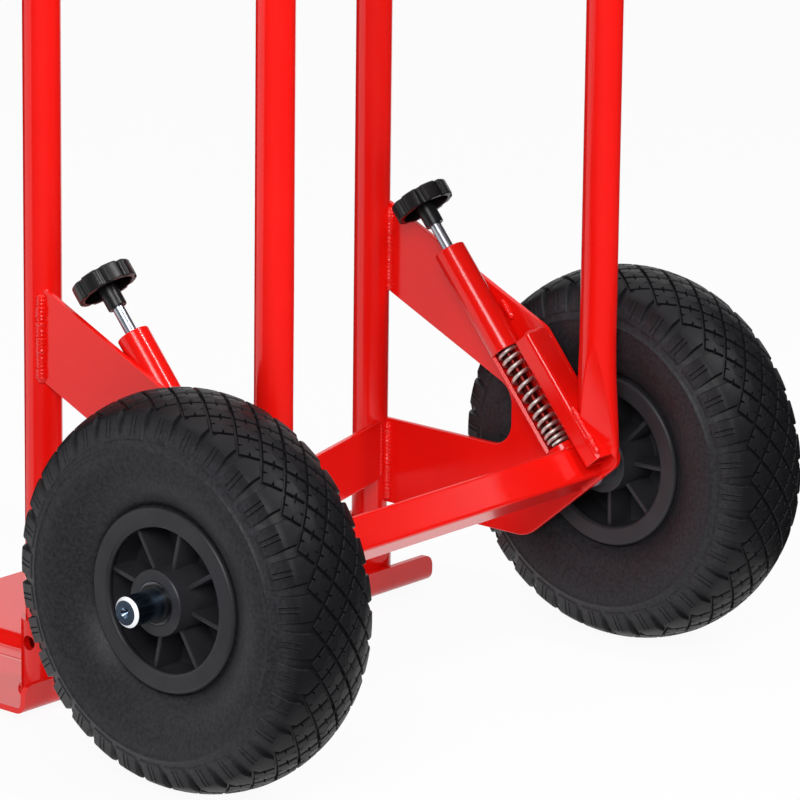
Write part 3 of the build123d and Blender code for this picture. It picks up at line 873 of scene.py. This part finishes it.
    def rim_profile(self) -> Loop:
        """Returns radius and height of the rim's outer half: hub, web, barrel and rolled flange."""
        half = [
            (self.bore_r, self.hub_half - self.bore_edge),
            (self.bore_r + self.bore_edge, self.hub_half),
            (self.hub_r - self.hub_edge, self.hub_half),
            (self.hub_r, self.hub_half - self.hub_edge),
        ]
        half += [(self.hub_r + out, self.web_half + up) for out, up in self.fillet]
        half += [(self.well_r - out, self.web_half + up) for out, up in reversed(self.fillet)]
        barrel = self.rim_half - self.flange_w
        half += [(self.well_r, barrel - self.well_drop), (self.lip_open + self.lip_edge, barrel)]
        roll = self.flange_w / 2
        lip_h = self.rim_half - roll
        turns = [(self.lip_open + roll, pi - pi / 2 * k / self.lip_rows) for k in range(self.lip_rows + 1)]
        rows = range(self.flange_rows + 1)
        turns += [(self.flange_r - roll, pi / 2 - pi * k / self.flange_rows) for k in rows]
        half += [(middle + roll * cos(turn), lip_h + roll * sin(turn)) for middle, turn in turns]
        return half + [(self.seat_r - 0.2, barrel)]

    def rim(self) -> None:
        """Makes the moulded rim, with ribs on both faces."""
        draft = Draft()
        half = self.rim_profile()
        draft.lathe(half + [(r, -h) for r, h in reversed(half)], self.at, self.rim_segments)
        low, high = self.web_half - self.rib_sink, self.rim_half - self.rib_setback
        near, far = self.hub_r - self.rib_bite, self.well_r + self.rib_bite
        blank = [(near, low), (far, low), (far, high), (near, high)]
        first = radians(self.rib_turn_left if self.side is Side.LEFT else self.rib_turn_right)
        for rib in range(self.ribs):
            angle = 2 * pi * rib / self.ribs + first
            for face in (1, -1):

                def place(r: float, h: float, w: float) -> Vector:
                    """Puts the rib's blank upright on the web at this angle."""
                    aside = w - self.rib_w / 2
                    y, z = r * cos(angle) - aside * sin(angle), r * sin(angle) + aside * cos(angle)
                    return self.at(y, z, face * h)

                draft.slab([blank], self.rib_w, place, self.rib_edge, 2)
        tag = self.side.tag
        make_piece(f"rim_{tag}_moulding", draft, RIM_PLASTIC, f"wheel_{tag}", [f"rim_{tag}"], 40)

    def build(self) -> None:
        """Makes the wheel's pieces."""
        self.tyre()
        self.rim()


@dataclass
class AxleLock:
    """One axle lock: windowed guide tube, spring and lobed knob round the plunger rod."""

    side: Side
    layout: Layout
    guide_r: float = 11.0
    guide_bore: float = 8.6
    guide_edge: float = 0.5
    guide_segments: int = 64
    foot_s: float = 12.5
    window_low: float = 18.5
    window_high: float = 95.0
    cap_s: float = 168.0
    top_s: float = 176.0
    top_round: float = 1.0
    rod_hole: float = 4.15
    hole_edge: float = 0.4
    shell_turn: float = 138.0
    shell_rows: int = 24
    shell_edge: float = 0.3
    shell_overlap: float = 0.1
    wire: float = 2.7
    wire_sides: int = 14
    coil_r: float = 6.3
    coil_low: float = 19.2
    coil_high: float = 106.8
    turns: float = 15.0
    turn_rows: int = 40
    end_closing: float = 0.33
    travel: float = 16.0
    knob_s: float = 196.0
    knob_r: float = 20.95
    knob_bore: float = 4.1
    lobes: int = 8
    lobe_rows: int = 36
    lobe_depth: float = 1.9
    lobe_width: float = 8.6

    def at(self, x: float, q: float, s: float) -> Vector:
        """Point inward x, behind q and up the slope s from where the plunger meets the axle."""
        return self.layout.slope(self.side.sign * (self.layout.plunger_x - x), q, s)

    def guide(self) -> None:
        """Makes the guide tube: a foot ring, an open half over the spring and a capped top."""
        draft = Draft()
        r, bore, edge, top = self.guide_r, self.guide_bore, self.guide_edge, self.top_s
        foot = [
            (bore, self.foot_s),
            (r, self.foot_s),
            (r, self.window_low - edge),
            (r - edge, self.window_low),
            (bore, self.window_low),
        ]
        draft.lathe(foot, self.at, self.guide_segments)
        cap = [
            (bore, self.window_high),
            (r - edge, self.window_high),
            (r, self.window_high + edge),
            (r, top - self.top_round),
            (r - 0.3 * self.top_round, top - 0.3 * self.top_round),
            (r - self.top_round, top),
            (self.rod_hole + self.hole_edge, top),
            (self.rod_hole, top - self.hole_edge),
            (self.rod_hole, self.cap_s),
            (bore, self.cap_s),
        ]
        draft.lathe(cap, self.at, self.guide_segments)
        arc = [pi + radians(self.shell_turn) * k / self.shell_rows for k in range(self.shell_rows + 1)]
        half = [(r * cos(a), r * sin(a)) for a in arc]
        half += [(bore * cos(a), bore * sin(a)) for a in reversed(arc)]
        low = self.window_low - self.shell_overlap
        rise = self.window_high - self.window_low + 2 * self.shell_overlap
        draft.slab([half], rise, lambda x, q, w: self.at(x, q, low + w), self.shell_edge, 2)
        tag = self.side.tag
        make_piece(f"guide_tube_{tag}_shell", draft, RED_PAINT, "frame", [f"guide_tube_{tag}"], 40)

    def spring(self) -> None:
        """Makes the spring, with a closed turn at each end."""
        draft = Draft()
        steps = int(self.turns * self.turn_rows)
        low, high = self.coil_low + self.wire / 2, self.coil_high - self.wire / 2
        path, normals = [], []
        for step in range(steps + 1):
            share = step / steps
            angle = 2 * pi * self.turns * share
            closed = self.end_closing * sin(2 * pi * share) / (2 * pi)
            height = low + (high - low) * (share - closed)
            spoke = Vector((cos(angle), sin(angle)))
            path.append(self.at(spoke.x * self.coil_r, spoke.y * self.coil_r, height))
            normals.append(self.at(spoke.x, spoke.y, 0) - self.at(0, 0, 0))
        draft.cord(path, normals, [self.wire / 2] * len(path), self.wire_sides)
        tag = self.side.tag
        piece = make_piece(f"spring_{tag}_coil", draft, SPRING_WIRE, "frame", [f"spring_{tag}"], 60)
        for modifier in list(piece.modifiers):
            piece.modifiers.remove(modifier)
        up = self.at(0, 0, 1) - self.at(0, 0, 0)
        tuple(self.at(0, 0, self.coil_high) * MM)
        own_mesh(piece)

    def knob(self) -> None:
        """Makes the scalloped knob, hollow below, on its hub."""
        r, bore = self.knob_r, self.knob_bore
        # Radius, height above the knob's foot and share of the lobes' depth, from the bore round to the top.
        rows = (
            (bore, 12.0, 0.0),
            (bore, 0.3, 0.0),
            (4.5, 0.0, 0.0),
            (6.1, 0.0, 0.0),
            (6.5, 0.5, 0.0),
            (6.6, 13.0, 0.0),
            (6.8, 19.6, 0.0),
            (8.4, 20.9, 0.0),
            (15.4, 21.0, 0.0),
            (16.6, 20.4, 0.0),
            (16.9, 19.0, 0.0),
            (16.9, 13.6, 0.0),
            (17.4, 13.0, 0.0),
            (r - 0.9, 13.0, 1.0),
            (r - 0.25, 13.3, 1.0),
            (r, 14.0, 1.0),
            (r, 23.5, 1.0),
            (r - 0.35, 24.4, 1.0),
            (r - 1.2, 24.9, 1.0),
            (r - 2.6, 25.0, 0.9),
            (r - 8.0, 25.0, 0.2),
            (5.0, 25.0, 0.0),
            (0.01, 25.0, 0.0),
        )
        segments, pitch = self.lobes * self.lobe_rows, 2 * pi / self.lobes
        angles = [2 * pi * step / segments for step in range(segments)]
        rings = []
        for radius, height, share in rows:
            ring = []
            for angle in angles:
                aside = abs((angle + pitch / 2) % pitch - pitch / 2) / radians(self.lobe_width)
                reach = radius - self.lobe_depth * max(0.0, 1 - aside**2) * share
                ring.append(self.at(reach * cos(angle), reach * sin(angle), self.knob_s + height))
            rings.append(ring)
        draft = Draft()
        draft.loft(rings)
        tag = self.side.tag
        make_piece(f"knob_{tag}_lobed", draft, NYLON, f"plunger_{tag}", [f"knob_{tag}"], 45)

    def build(self) -> None:
        """Makes the lock's pieces."""
        self.guide()
        self.spring()
        self.knob()


@dataclass
class SideFrame:
    """One side of the frame: plate, strut, rear tube with its pressed foot, and grip."""

    side: Side
    layout: Layout
    rear_q: float = 31.0
    lower_s: float = 14.0
    arm_slope: float = 24.5
    arm_width: float = 57.0
    arm_rise: float = 155.0
    low_drop: float = 60.0
    low_height: float = 61.0
    cut_y: float = 65.0
    cut_r: float = 17.0
    apex_r: float = 11.0
    heel_r: float = 24.0
    crown_r: float = 12.0
    tube_bite: float = 9.4
    axle_hole: float = 10.15
    strut_w: float = 19.5
    strut_t: float = 2.5
    strut_q: float = 15.5
    strut_low: float = -6.0
    strut_high: float = 93.0
    strut_r: float = 3.5
    oval_x: float = 12.0
    oval_y: float = 15.5
    press_length: float = 70.0
    press_depth: float = 6.0
    press_turn: float = 203.0
    press_hollow: float = 1.15
    foot_shift: float = 2.0
    grip_r: float = 15.95
    grip_from: float = 55.0
    grip_to: float = 165.0
    grip_ribs: int = 18
    grip_groove: float = 1.1
    grip_round: float = 1.2
    grip_round_share: float = 0.012
    grip_flange: tuple[float, float] = (0.045, 0.03)
    grip_columns: int = 48

    def plate(self) -> None:
        """Makes the side plate with its two arms and the opening between them."""
        lay = self.layout
        lean = lay.lean * 180 / pi
        front = lay.front_y - lay.axle.y
        end = front - self.tube_bite
        arm_top = (front, self.arm_rise + lay.tube_r * tan(radians(self.arm_slope)))
        arm_low = (front, arm_top[1] - self.arm_width / cos(radians(self.arm_slope)))
        low_top = self.low_height - self.low_drop
        corners = (
            crossing(arm_top, self.arm_slope, (end, 0), 90),
            crossing(arm_top, self.arm_slope, lay.slope_yz(self.rear_q, 0), 90 - lean),
            lay.slope_yz(self.rear_q, -self.lower_s),
            crossing(lay.slope_yz(0, -self.lower_s), -lean, (0, -self.low_drop), 0),
            (end, -self.low_drop),
            (end, low_top),
            (self.cut_y, low_top),
            crossing((self.cut_y, 0), 90, arm_low, self.arm_slope),
            crossing(arm_low, self.arm_slope, (end, 0), 90),
        )
        radii = (0, self.crown_r, self.apex_r, self.heel_r, 0, 0, self.cut_r, self.cut_r, 0)
        outline = round_corners(corners, radii)
        turns = [-2 * pi * k / 48 for k in range(48)]
        hole = [(self.axle_hole * cos(a), self.axle_hole * sin(a)) for a in turns]
        sign, inner = self.side.sign, lay.plate_in

        def place(y: float, z: float, w: float) -> Vector:
            """Stands the plate's blank upright on this side."""
            return lay.axle + Vector((sign * (inner + w), y, z))

        draft = Draft()
        draft.slab([outline, hole], lay.plate_out - inner, place, 0.7)
        tag = self.side.tag
        make_piece(f"side_plate_{tag}_sheet", draft, RED_PAINT, "frame", [f"side_plate_{tag}"])

    def strut(self) -> None:
        """Makes the folded strut channel, open towards the plate."""
        w, t, low, high = self.strut_w, self.strut_t, self.strut_q, self.rear_q
        corners = ((0, low), (w, low), (w, high), (0, high))
        corners += ((0, high - t), (w - t, high - t), (w - t, low + t), (0, low + t))
        inner_r = self.strut_r - t
        outline = round_corners(corners, (0, self.strut_r, self.strut_r, 0, 0, inner_r, inner_r, 0))
        lay, sign = self.layout, self.side.sign

        def place(x: float, q: float, s: float) -> Vector:
            """Lays the channel's section square to the plunger's slope."""
            return lay.slope(sign * (lay.plate_in - x), q, self.strut_low + s)

        draft = Draft()
        draft.slab([outline], self.strut_high - self.strut_low, place, 0.6)
        tag = self.side.tag
        make_piece(f"strut_{tag}_channel", draft, RED_PAINT, "frame", [f"strut_{tag}"])

    def rear_tube(self) -> None:
        """Makes the rear upright, whose foot is pressed oval, dented and cut to the strut's slope."""
        lay, sign = self.layout, self.side.sign
        top = lay.axle.z + self.rear_q * sin(lay.lean) + self.press_length
        columns, rows = 120, 70
        angles = [2 * pi * k / columns for k in range(columns)]
        facing = Vector((cos(radians(self.press_turn)), sin(radians(self.press_turn))))

        def skin(angle: float, z: float) -> Vector:
            """Point on the tube's outside at a height."""
            share = min(max((top - z) / self.press_length, 0.0), 1.2)
            rx = lay.tube_r + (self.oval_x - lay.tube_r) * min(share, 1.0)
            ry = lay.tube_r + (self.oval_y - lay.tube_r) * min(share, 1.0)
            point = Vector((rx * cos(angle), ry * sin(angle) - self.foot_shift * ease(0.2, 1.0, share)))
            proud = point.dot(facing) - lay.tube_r + self.press_depth * share
            if share > 0 and proud > 0:
                point -= facing * proud * self.press_hollow
            return Vector((sign * (lay.tube_x + point.x), lay.rear_y + point.y, z))

        def foot(angle: float) -> float:
            """Height where the tube's wall meets the strut's sloping back."""
            z = lay.axle.z
            for _ in range(6):
                y = skin(angle, z).y - lay.axle.y
                z = lay.axle.z + (self.rear_q + 0.1 + cos(lay.lean) * y) / sin(lay.lean)
            return z

        feet = [foot(angle) for angle in angles]
        rings = [[skin(angle, lay.bend_z) for angle in angles], [skin(angle, top + 1) for angle in angles]]
        for row in range(rows + 1):
            share = row / rows
            rings.append([skin(a, top + (z - top) * share) for a, z in zip(angles, feet)])
        draft = Draft()
        draft.loft(rings)
        tag = self.side.tag
        make_piece(f"rear_upright_{tag}_tube", draft, RED_PAINT, "frame", [f"rear_upright_{tag}"])

    def grip(self) -> None:
        """Makes the ribbed soft grip over the top of the handle bend."""
        lay = self.layout
        middle = (lay.front_y + lay.rear_y) / 2
        bend = (lay.front_y - lay.rear_y) / 2
        steps = self.grip_ribs * 8
        draft = Draft()
        rings = []
        for step in range(steps + 1):
            share = step / steps
            angle = radians(self.grip_from + (self.grip_to - self.grip_from) * share)
            rib = 0.5 - 0.5 * cos(2 * pi * self.grip_ribs * share)
            end = min(share, 1 - share)
            groove = self.grip_groove * (1 - max(rib**0.5, ease(*self.grip_flange, end)))
            rounding = self.grip_round * (1 - sqrt(min(end / self.grip_round_share, 1.0)))
            radius = self.grip_r - max(groove, rounding)
            ring = []
            for k in range(self.grip_columns):
                turn = 2 * pi * k / self.grip_columns
                reach = bend + radius * cos(turn)
                x = self.side.sign * lay.tube_x + radius * sin(turn)
                y, z = middle + reach * cos(angle), lay.bend_z + reach * sin(angle)
                ring.append(Vector((x, y, z)))
            rings.append(ring)
        draft.loft(rings)
        tag = self.side.tag
        make_piece(f"grip_{tag}_sleeve", draft, GRIP, "frame", [f"grip_{tag}"], 60)

    def build(self) -> None:
        """Makes the side's pieces."""
        self.plate()
        self.strut()
        self.rear_tube()
        self.grip()


@dataclass
class Braces:
    """The bent flat bars between the front uprights."""

    layout: Layout
    thickness: float = 4.0
    bow: float = 33.0
    flat: float = 90.0
    bend_r: float = 30.0
    end_x: float = 158.0

    def route(self) -> list[Vector]:
        """Returns the centre line in plan, from left to right."""
        lay = self.layout
        rear = lay.front_y - lay.tube_r + self.thickness / 2
        corners = [(-lay.tube_x, rear), (-self.flat / 2, rear - self.bow)]
        corners += [(-x, y) for x, y in reversed(corners)]
        points = [Vector(point) for point in round_corners(corners, (0, self.bend_r, self.bend_r, 0), 4.0)]
        slope = (points[1] - points[0]).normalized()
        cut = (lay.tube_x - self.end_x) / slope.x
        points[0] = points[0] + slope * cut
        points[-1] = Vector((-points[0].x, points[0].y))
        return points

    def build(self) -> None:
        """Makes the three braces."""
        line = self.route()
        near, far = [], []
        for index, point in enumerate(line):
            way = (line[min(index + 1, len(line) - 1)] - line[max(index - 1, 0)]).normalized()
            out = Vector((way.y, -way.x)) * self.thickness / 2
            near.append((point.x + out.x, point.y + out.y))
            far.append((point.x - out.x, point.y - out.y))
        outline = near + far[::-1]
        for tag in BRACES:
            low, high = box_mm(f"brace_{tag}")
            draft = Draft()
            draft.slab([outline], high.z - low.z, lambda x, y, w: Vector((x, y, low.z + w)), 0.8)
            make_piece(f"brace_{tag}_bar", draft, RED_PAINT, "frame", [f"brace_{tag}"])


@dataclass
class ToePlate:
    """The pressed toe plate with its turned-up rear lip."""

    thickness: float = 4.0
    bend_r: float = 6.0
    lip_corner: float = 8.0
    corner: float = 28.0
    bead_drop: float = 6.0
    bead_half: float = 20.0
    bead_floor: float = 10.5
    bead_length: float = 165.0
    bead_places: tuple[float, ...] = (-110.0, 0.0, 110.0)
    columns: int = 132

    def dip(self, x: float, y: float, middle: float) -> float:
        """Depth of the pressed beads at a place on the sheet."""
        straight = self.bead_length / 2 - self.bead_half
        beyond = max(abs(y - middle) - straight, 0.0)
        nearest = min(hypot(x - place, beyond) for place in self.bead_places)
        return self.bead_drop * ease(self.bead_half, self.bead_floor, nearest)

    def build(self) -> None:
        """Makes the toe plate from a grid that follows the lip, the bend and the sheet."""
        low, high = box_mm("toe_plate")
        half_t, middle = self.thickness / 2, (low.y + high.y) / 2
        sheet_z, lip_y = low.z + self.bead_drop + half_t, low.y + half_t
        half_w = (high.x - low.x) / 2
        spine: list[tuple[float, float, float]] = []
        for k in range(9):
            turn = pi / 2 * k / 8
            inset = self.lip_corner * (1 - sin(turn))
            spine.append((lip_y, high.z - self.lip_corner * (1 - cos(turn)), inset))
        for k in range(7):
            turn = pi / 2 * k / 6
            y = lip_y + self.bend_r * (1 - cos(turn))
            spine.append((y, sheet_z + self.bend_r * (1 - sin(turn)), 0.0))
        start, stop = lip_y + self.bend_r, high.y - self.corner
        spine += [(start + (stop - start) * k / 56, sheet_z, 0.0) for k in range(1, 57)]
        for k in range(1, 13):
            turn = pi / 2 * k / 12
            spine.append((stop + self.corner * sin(turn), sheet_z, self.corner * (1 - cos(turn))))
        grid = []
        for y, z, inset in spine:
            reach = half_w - inset
            xs = [reach * (2 * c / self.columns - 1) for c in range(self.columns + 1)]
            grid.append([Vector((x, y, z - (self.dip(x, y, middle) if y > start else 0.0))) for x in xs])
        rows, cols = len(grid), self.columns + 1
        draft = Draft()
        for lift in (half_t, -half_t):
            for r in range(rows):
                for c in range(cols):
                    across = grid[r][min(c + 1, cols - 1)] - grid[r][max(c - 1, 0)]
                    along = grid[min(r + 1, rows - 1)][c] - grid[max(r - 1, 0)][c]
                    along = Vector((0, along.y, along.z))
                    draft.points.append(grid[r][c] + across.cross(along).normalized() * lift)
        layer = rows * cols
        for base in (0, layer):
            for r in range(rows - 1):
                for c in range(cols - 1):
                    here = base + r * cols + c
                    draft.faces.append((here, here + 1, here + cols + 1, here + cols))
        rim = list(range(cols)) + [r * cols + cols - 1 for r in range(1, rows)]
        rim += [(rows - 1) * cols + c for c in range(cols - 2, -1, -1)]
        rim += [r * cols for r in range(rows - 2, 0, -1)]
        for here, there in zip(rim, rim[1:] + rim[:1]):
            draft.faces.append((here, there, there + layer, here + layer))
        make_piece("toe_plate_pressing", draft, RED_PAINT, "frame", ["toe_plate"], 50)


@dataclass
class Welds:
    """The painted-over weld beads that join the frame's pieces."""

    layout: Layout
    ripple: float = 2.6
    seed: int = 11
    # Inset from the plate's inner face, both ends behind and along the slope, and the bead's radius.
    plate_seams: tuple[tuple[float, Point, Point, float], ...] = (
        (0.3, (-12.6, -11.0), (-12.6, 12.0), 2.0),
        (0.3, (-11.0, -12.6), (11.0, -12.6), 2.0),
        (17.5, (31.2, -3.0), (31.2, 34.0), 2.3),
        (0.3, (9.8, 112.0), (9.8, 128.0), 2.3),
        (0.3, (-9.8, 150.0), (-9.8, 166.0), 2.3),
        (0.3, (-9.8, 15.0), (-9.8, 50.0), 2.2),
    )

    def __post_init__(self) -> None:
        """Starts the fixed row of random numbers for the ripples."""
        self.chance = random.Random(self.seed)

    def bead(self, draft: Draft, corners: Sequence[Vector], normal: Vector, radius: float) -> None:
        """Lays one rippled bead along a run of points.

        Args:
            draft: the mesh it joins.
            corners: points on the seam.
            normal: the way the bead faces.
            radius: half its width.
        """
        path, radii, done = [], [], 0.0
        swell = [self.chance.uniform(0.9, 1.1) for _ in range(400)]
        total = sum((b - a).length for a, b in zip(corners, corners[1:]))
        for a, b in zip(corners, corners[1:]):
            length = (b - a).length
            count = max(2, ceil(length / 0.5))
            for k in range(count if b is not corners[-1] else count + 1):
                run = done + length * k / count
                wave = abs(sin(pi * run / self.ripple)) ** 0.6
                ends = max(min(run, total - run), 0.0)
                size = radius * (0.84 + 0.16 * wave) * swell[int(run / self.ripple) % len(swell)]
                radii.append(size * (0.35 + 0.65 * sqrt(min(ends / radius, 1.0))))
                path.append(a.lerp(b, k / count))
            done += length
        draft.cord(path, [normal] * len(path), radii, 10)

    def side_seams(self, side: Side) -> None:
        """Lays the beads of one side frame."""
        lay, sign = self.layout, side.sign
        draft = Draft()

        def at(x: float, y: float, z: float) -> Vector:
            """Point on this side, from the axle's height and place."""
            return lay.axle + Vector((sign * x, y, z))

        def on_slope(x: float, q: float, s: float) -> Vector:
            """Point on this side on the plungers' slope."""
            return lay.slope(sign * x, q, s)

        front = lay.front_y - lay.axle.y
        for x in (lay.plate_in, lay.plate_out):
            off = sqrt(lay.tube_r**2 - (x - lay.tube_x) ** 2)
            way = Vector((sign * (1 if x > lay.plate_in else -1), -1, 0))
            for low, high in ((93.0, 153.0), (-58.0, -1.0)):
                self.bead(draft, [at(x, front - off, low), at(x, front - off, high)], way, 4.3)
        for inset, start, end, radius in self.plate_seams:
            ends = [on_slope(lay.plate_in - inset, *place) for place in (start, end)]
            self.bead(draft, ends, Vector((-sign, 0, 0)), radius)
        top = [on_slope(lay.plate_in - x, 30.0 - 0.2 * x, 93.3) for x in (1.0, 17.5)]
        self.bead(draft, top, Vector((0, 0, 1)), 1.8)
        ring = []
        for k in range(19):
            turn = -pi / 2 + pi * k / 18
            ring.append(on_slope(lay.plunger_x - 11.4 * cos(turn), 11.4 * sin(turn), 12.7))
        self.bead(draft, ring, on_slope(0, 0, 1) - on_slope(0, 0, 0), 1.5)
        for brace in BRACES:
            low, high = box_mm(f"brace_{brace}")
            for x, y in ((lay.tube_x - 9.4, lay.front_y - 8.4), (lay.tube_x - 3.2, lay.front_y - 12.4)):
                spots = [Vector((sign * x, y, low.z + 2)), Vector((sign * x, y, high.z - 2))]
                self.bead(draft, spots, Vector((-sign, 1 if y > lay.front_y - 10 else -1, 0)), 2.2)
        low, high = box_mm(f"socket_{side.tag}")
        centre, reach = (low + high) / 2, (high.x - low.x) / 2 + 0.4
        turns = [2 * pi * k / 40 for k in range(41)]
        foot = [Vector((centre.x + reach * cos(a), centre.y + reach * sin(a), low.z + 0.6)) for a in turns]
        self.bead(draft, foot, Vector((0, 0, 1)), 2.0)
        make_piece(f"weld_beads_{side.tag}", draft, RED_PAINT, "frame", crease=70)

    def build(self) -> None:
        """Lays all the beads."""
        for side in Side:
            self.side_seams(side)


@dataclass
class Studio:
    """The pale floor, soft lights and camera."""

    layout: Layout
    azimuth: float = -49.75
    elevation: float = 16.41
    roll: float = 0.75
    distance: float = 3701.2
    focal_px: float = 5623.5
    axis_px: tuple[float, float] = (422.9, 518.0)
    frame_px: float = 800.0
    sensor: float = 36.0
    floor_half: float = 40.0
    card_near: float = 0.4
    card_far: float = 3.0
    card_tall: float = 5.0
    card_lift: float = 0.004
    card_colour: str = "#2A2A2C"
    floor_colour: str = "#F4F4F4"
    floor_glow: float = 0.94
    fill: float = 0.26
    lit_point: tuple[float, float, float] = (0.0, -0.05, 0.35)

    def camera(self) -> None:
        """Sets the camera at the photograph's viewpoint."""
        a, e, r = (radians(v) for v in (self.azimuth, self.elevation, self.roll))
        back = Vector((sin(a) * cos(e), -cos(a) * cos(e), sin(e)))
        level = Vector((cos(a), sin(a), 0))
        rise = back.cross(level)
        right = level * cos(r) + rise * sin(r)
        up = rise * cos(r) - level * sin(r)
        middle = self.frame_px / 2
        aim = -back + right * (middle - self.axis_px[0]) / self.focal_px
        aim = (aim + up * (self.axis_px[1] - middle) / self.focal_px).normalized()
        x = aim.cross(up).normalized()
        y = x.cross(aim)
        eye = (self.layout.axle + back * self.distance) * MM
        data = bpy.data.cameras.new("camera")
        data.sensor_width = self.sensor
        data.lens = self.focal_px / self.frame_px * self.sensor
        data.clip_end = 200
        camera = bpy.data.objects.new("camera", data)
        camera.matrix_world = Matrix(
            ((x.x, y.x, -aim.x, eye.x), (x.y, y.y, -aim.y, eye.y), (x.z, y.z, -aim.z, eye.z), (0, 0, 0, 1))
        )
        bpy.context.scene.collection.objects.link(camera)
        bpy.context.scene.camera = camera

    def seen_directly(self, tree: bpy.types.NodeTree) -> bpy.types.NodeSocket:
        """Returns a socket that is 1 where the camera sees a surface straight, mirrored or through glass."""
        path = add_node(tree, "ShaderNodeLightPath").outputs
        mirrored = calculate(tree, "MAXIMUM", path["Is Camera Ray"], path["Is Glossy Ray"])
        return calculate(tree, "MAXIMUM", mirrored, path["Is Transmission Ray"])

    def floor(self) -> None:
        """Makes the white floor, which keeps a soft share of the truck's shadow."""
        h = self.floor_half
        mesh = bpy.data.meshes.new("floor")
        mesh.from_pydata([(-h, -h, 0), (h, -h, 0), (h, h, 0), (-h, h, 0)], [], [(0, 1, 2, 3)])
        floor = bpy.data.objects.new("floor", mesh)
        bpy.context.scene.collection.objects.link(floor)
        paint = bpy.data.materials.new("white_paper_floor")
        paint.use_nodes = True
        tree = paint.node_tree
        tree.nodes.clear()
        paper = add_node(tree, "ShaderNodeBsdfDiffuse", {"Color": linear(self.floor_colour)}).outputs[0]
        glow = add_node(tree, "ShaderNodeEmission", {"Color": (1, 1, 1, 1), "Strength": 1.0}).outputs[0]
        share = calculate(tree, "MULTIPLY", self.seen_directly(tree), self.floor_glow)
        mix = add_node(tree, "ShaderNodeMixShader", {"Fac": share, 1: paper, 2: glow})
        add_node(tree, "ShaderNodeOutputMaterial", {"Surface": mix.outputs[0]})
        mesh.materials.append(paint)

    def world(self) -> None:
        """Sets a white surround that lights the truck softly."""
        world = bpy.data.worlds.new("surround")
        bpy.context.scene.world = world
        world.use_nodes = True
        tree = world.node_tree
        tree.nodes.clear()
        white = {"Color": (1, 1, 1, 1)}
        fill = add_node(tree, "ShaderNodeBackground", {**white, "Strength": self.fill}).outputs[0]
        seen = add_node(tree, "ShaderNodeBackground", {**white, "Strength": 1.0}).outputs[0]
        mix = add_node(tree, "ShaderNodeMixShader", {"Fac": self.seen_directly(tree), 1: fill, 2: seen})
        add_node(tree, "ShaderNodeOutputWorld", {"Surface": mix.outputs[0]})

    def flag(self, name: str, first: float, last: float) -> None:
        """Adds a dark card that only mirrors see: a sector of the floor and a curved wall beyond it.

        Args:
            name: the card's name.
            first: the sector's start in degrees round +Z from +X.
            last: its end.
        """
        ticks = 48
        points, faces = [], []
        for tick in range(ticks + 1):
            turn = radians(first + (last - first) * tick / ticks)
            spoke = Vector((cos(turn), sin(turn), 0))
            low, far = self.card_lift, self.card_far
            for reach, height in ((self.card_near, low), (far, low), (far, self.card_tall)):
                points.append(spoke * reach + Vector((0, 0, height)))
        for tick in range(ticks):
            at = 3 * tick
            faces += [(at, at + 1, at + 4, at + 3), (at + 1, at + 2, at + 5, at + 4)]
        mesh = bpy.data.meshes.new(name)
        mesh.from_pydata(points, [], faces)
        card = bpy.data.objects.new(name, mesh)
        bpy.context.scene.collection.objects.link(card)
        paint = bpy.data.materials.new(f"{name}_black_felt")
        paint.use_nodes = True
        tree = paint.node_tree
        tree.nodes.clear()
        felt = add_node(tree, "ShaderNodeBsdfDiffuse", {"Color": linear(self.card_colour)})
        add_node(tree, "ShaderNodeOutputMaterial", {"Surface": felt.outputs[0]})
        mesh.materials.append(paint)
        card.visible_camera = card.visible_diffuse = card.visible_shadow = False
        card.visible_transmission = card.visible_volume_scatter = False

    def lamp(
        self, name: str, place: tuple[float, float, float], watts: float, size: tuple[float, float]
    ) -> None:
        """Adds a soft light that points at the wheels.

        Args:
            name: the light's name.
            place: where it hangs, in metres.
            watts: its power.
            size: its width and height in metres.
        """
        data = bpy.data.lights.new(name, "AREA")
        data.shape = "RECTANGLE"
        data.energy = watts
        data.size, data.size_y = size
        lamp = bpy.data.objects.new(name, data)
        lamp.location = place
        aim = Vector(self.lit_point) - Vector(place)
        lamp.rotation_euler = aim.to_track_quat("-Z", "Y").to_euler()
        bpy.context.scene.collection.objects.link(lamp)

    def build(self) -> None:
        """Sets up the studio."""
        self.camera()
        self.floor()
        self.world()
        self.flag("rear_card", 160.0, 370.0)
        self.flag("front_card", 55.0, 105.0)
        self.lamp("key_light", (0.35, -1.9, 2.6), 36.0, (0.16, 1.4))
        self.lamp("glow_light", (1.6, -0.88, 1.25), 0.14, (0.12, 0.12))
        self.lamp("left_light", (-2.4, -1.7, 1.9), 72.0, (1.4, 1.4))
        self.lamp("top_light", (0.0, 0.9, 3.2), 14.0, (2.0, 2.0))
        bpy.context.scene.view_settings.view_transform = "Standard"


def dress_nodes() -> None:
    """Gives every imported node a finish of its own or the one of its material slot."""
    slots = {part["node"]: part["material_slot"] for part in frame["record"]["subparts"]}
    for name, node in frame["nodes"].items():
        node.data.materials.clear()
        node.data.materials.append(NODE_FINISHES.get(name, SLOT_FINISHES[slots[name]]).material())


def main() -> None:
    """Builds the dressed truck and its studio."""
    logging.basicConfig(level=logging.INFO, format="%(name)s %(message)s")
    layout = Layout.read()
    dress_nodes()
    for side in Side:
        Wheel(side, layout).build()
        AxleLock(side, layout).build()
        SideFrame(side, layout).build()
    Braces(layout).build()
    ToePlate().build()
    Welds(layout).build()
    Studio(layout).build()


if __name__ == "__main__":
    main()
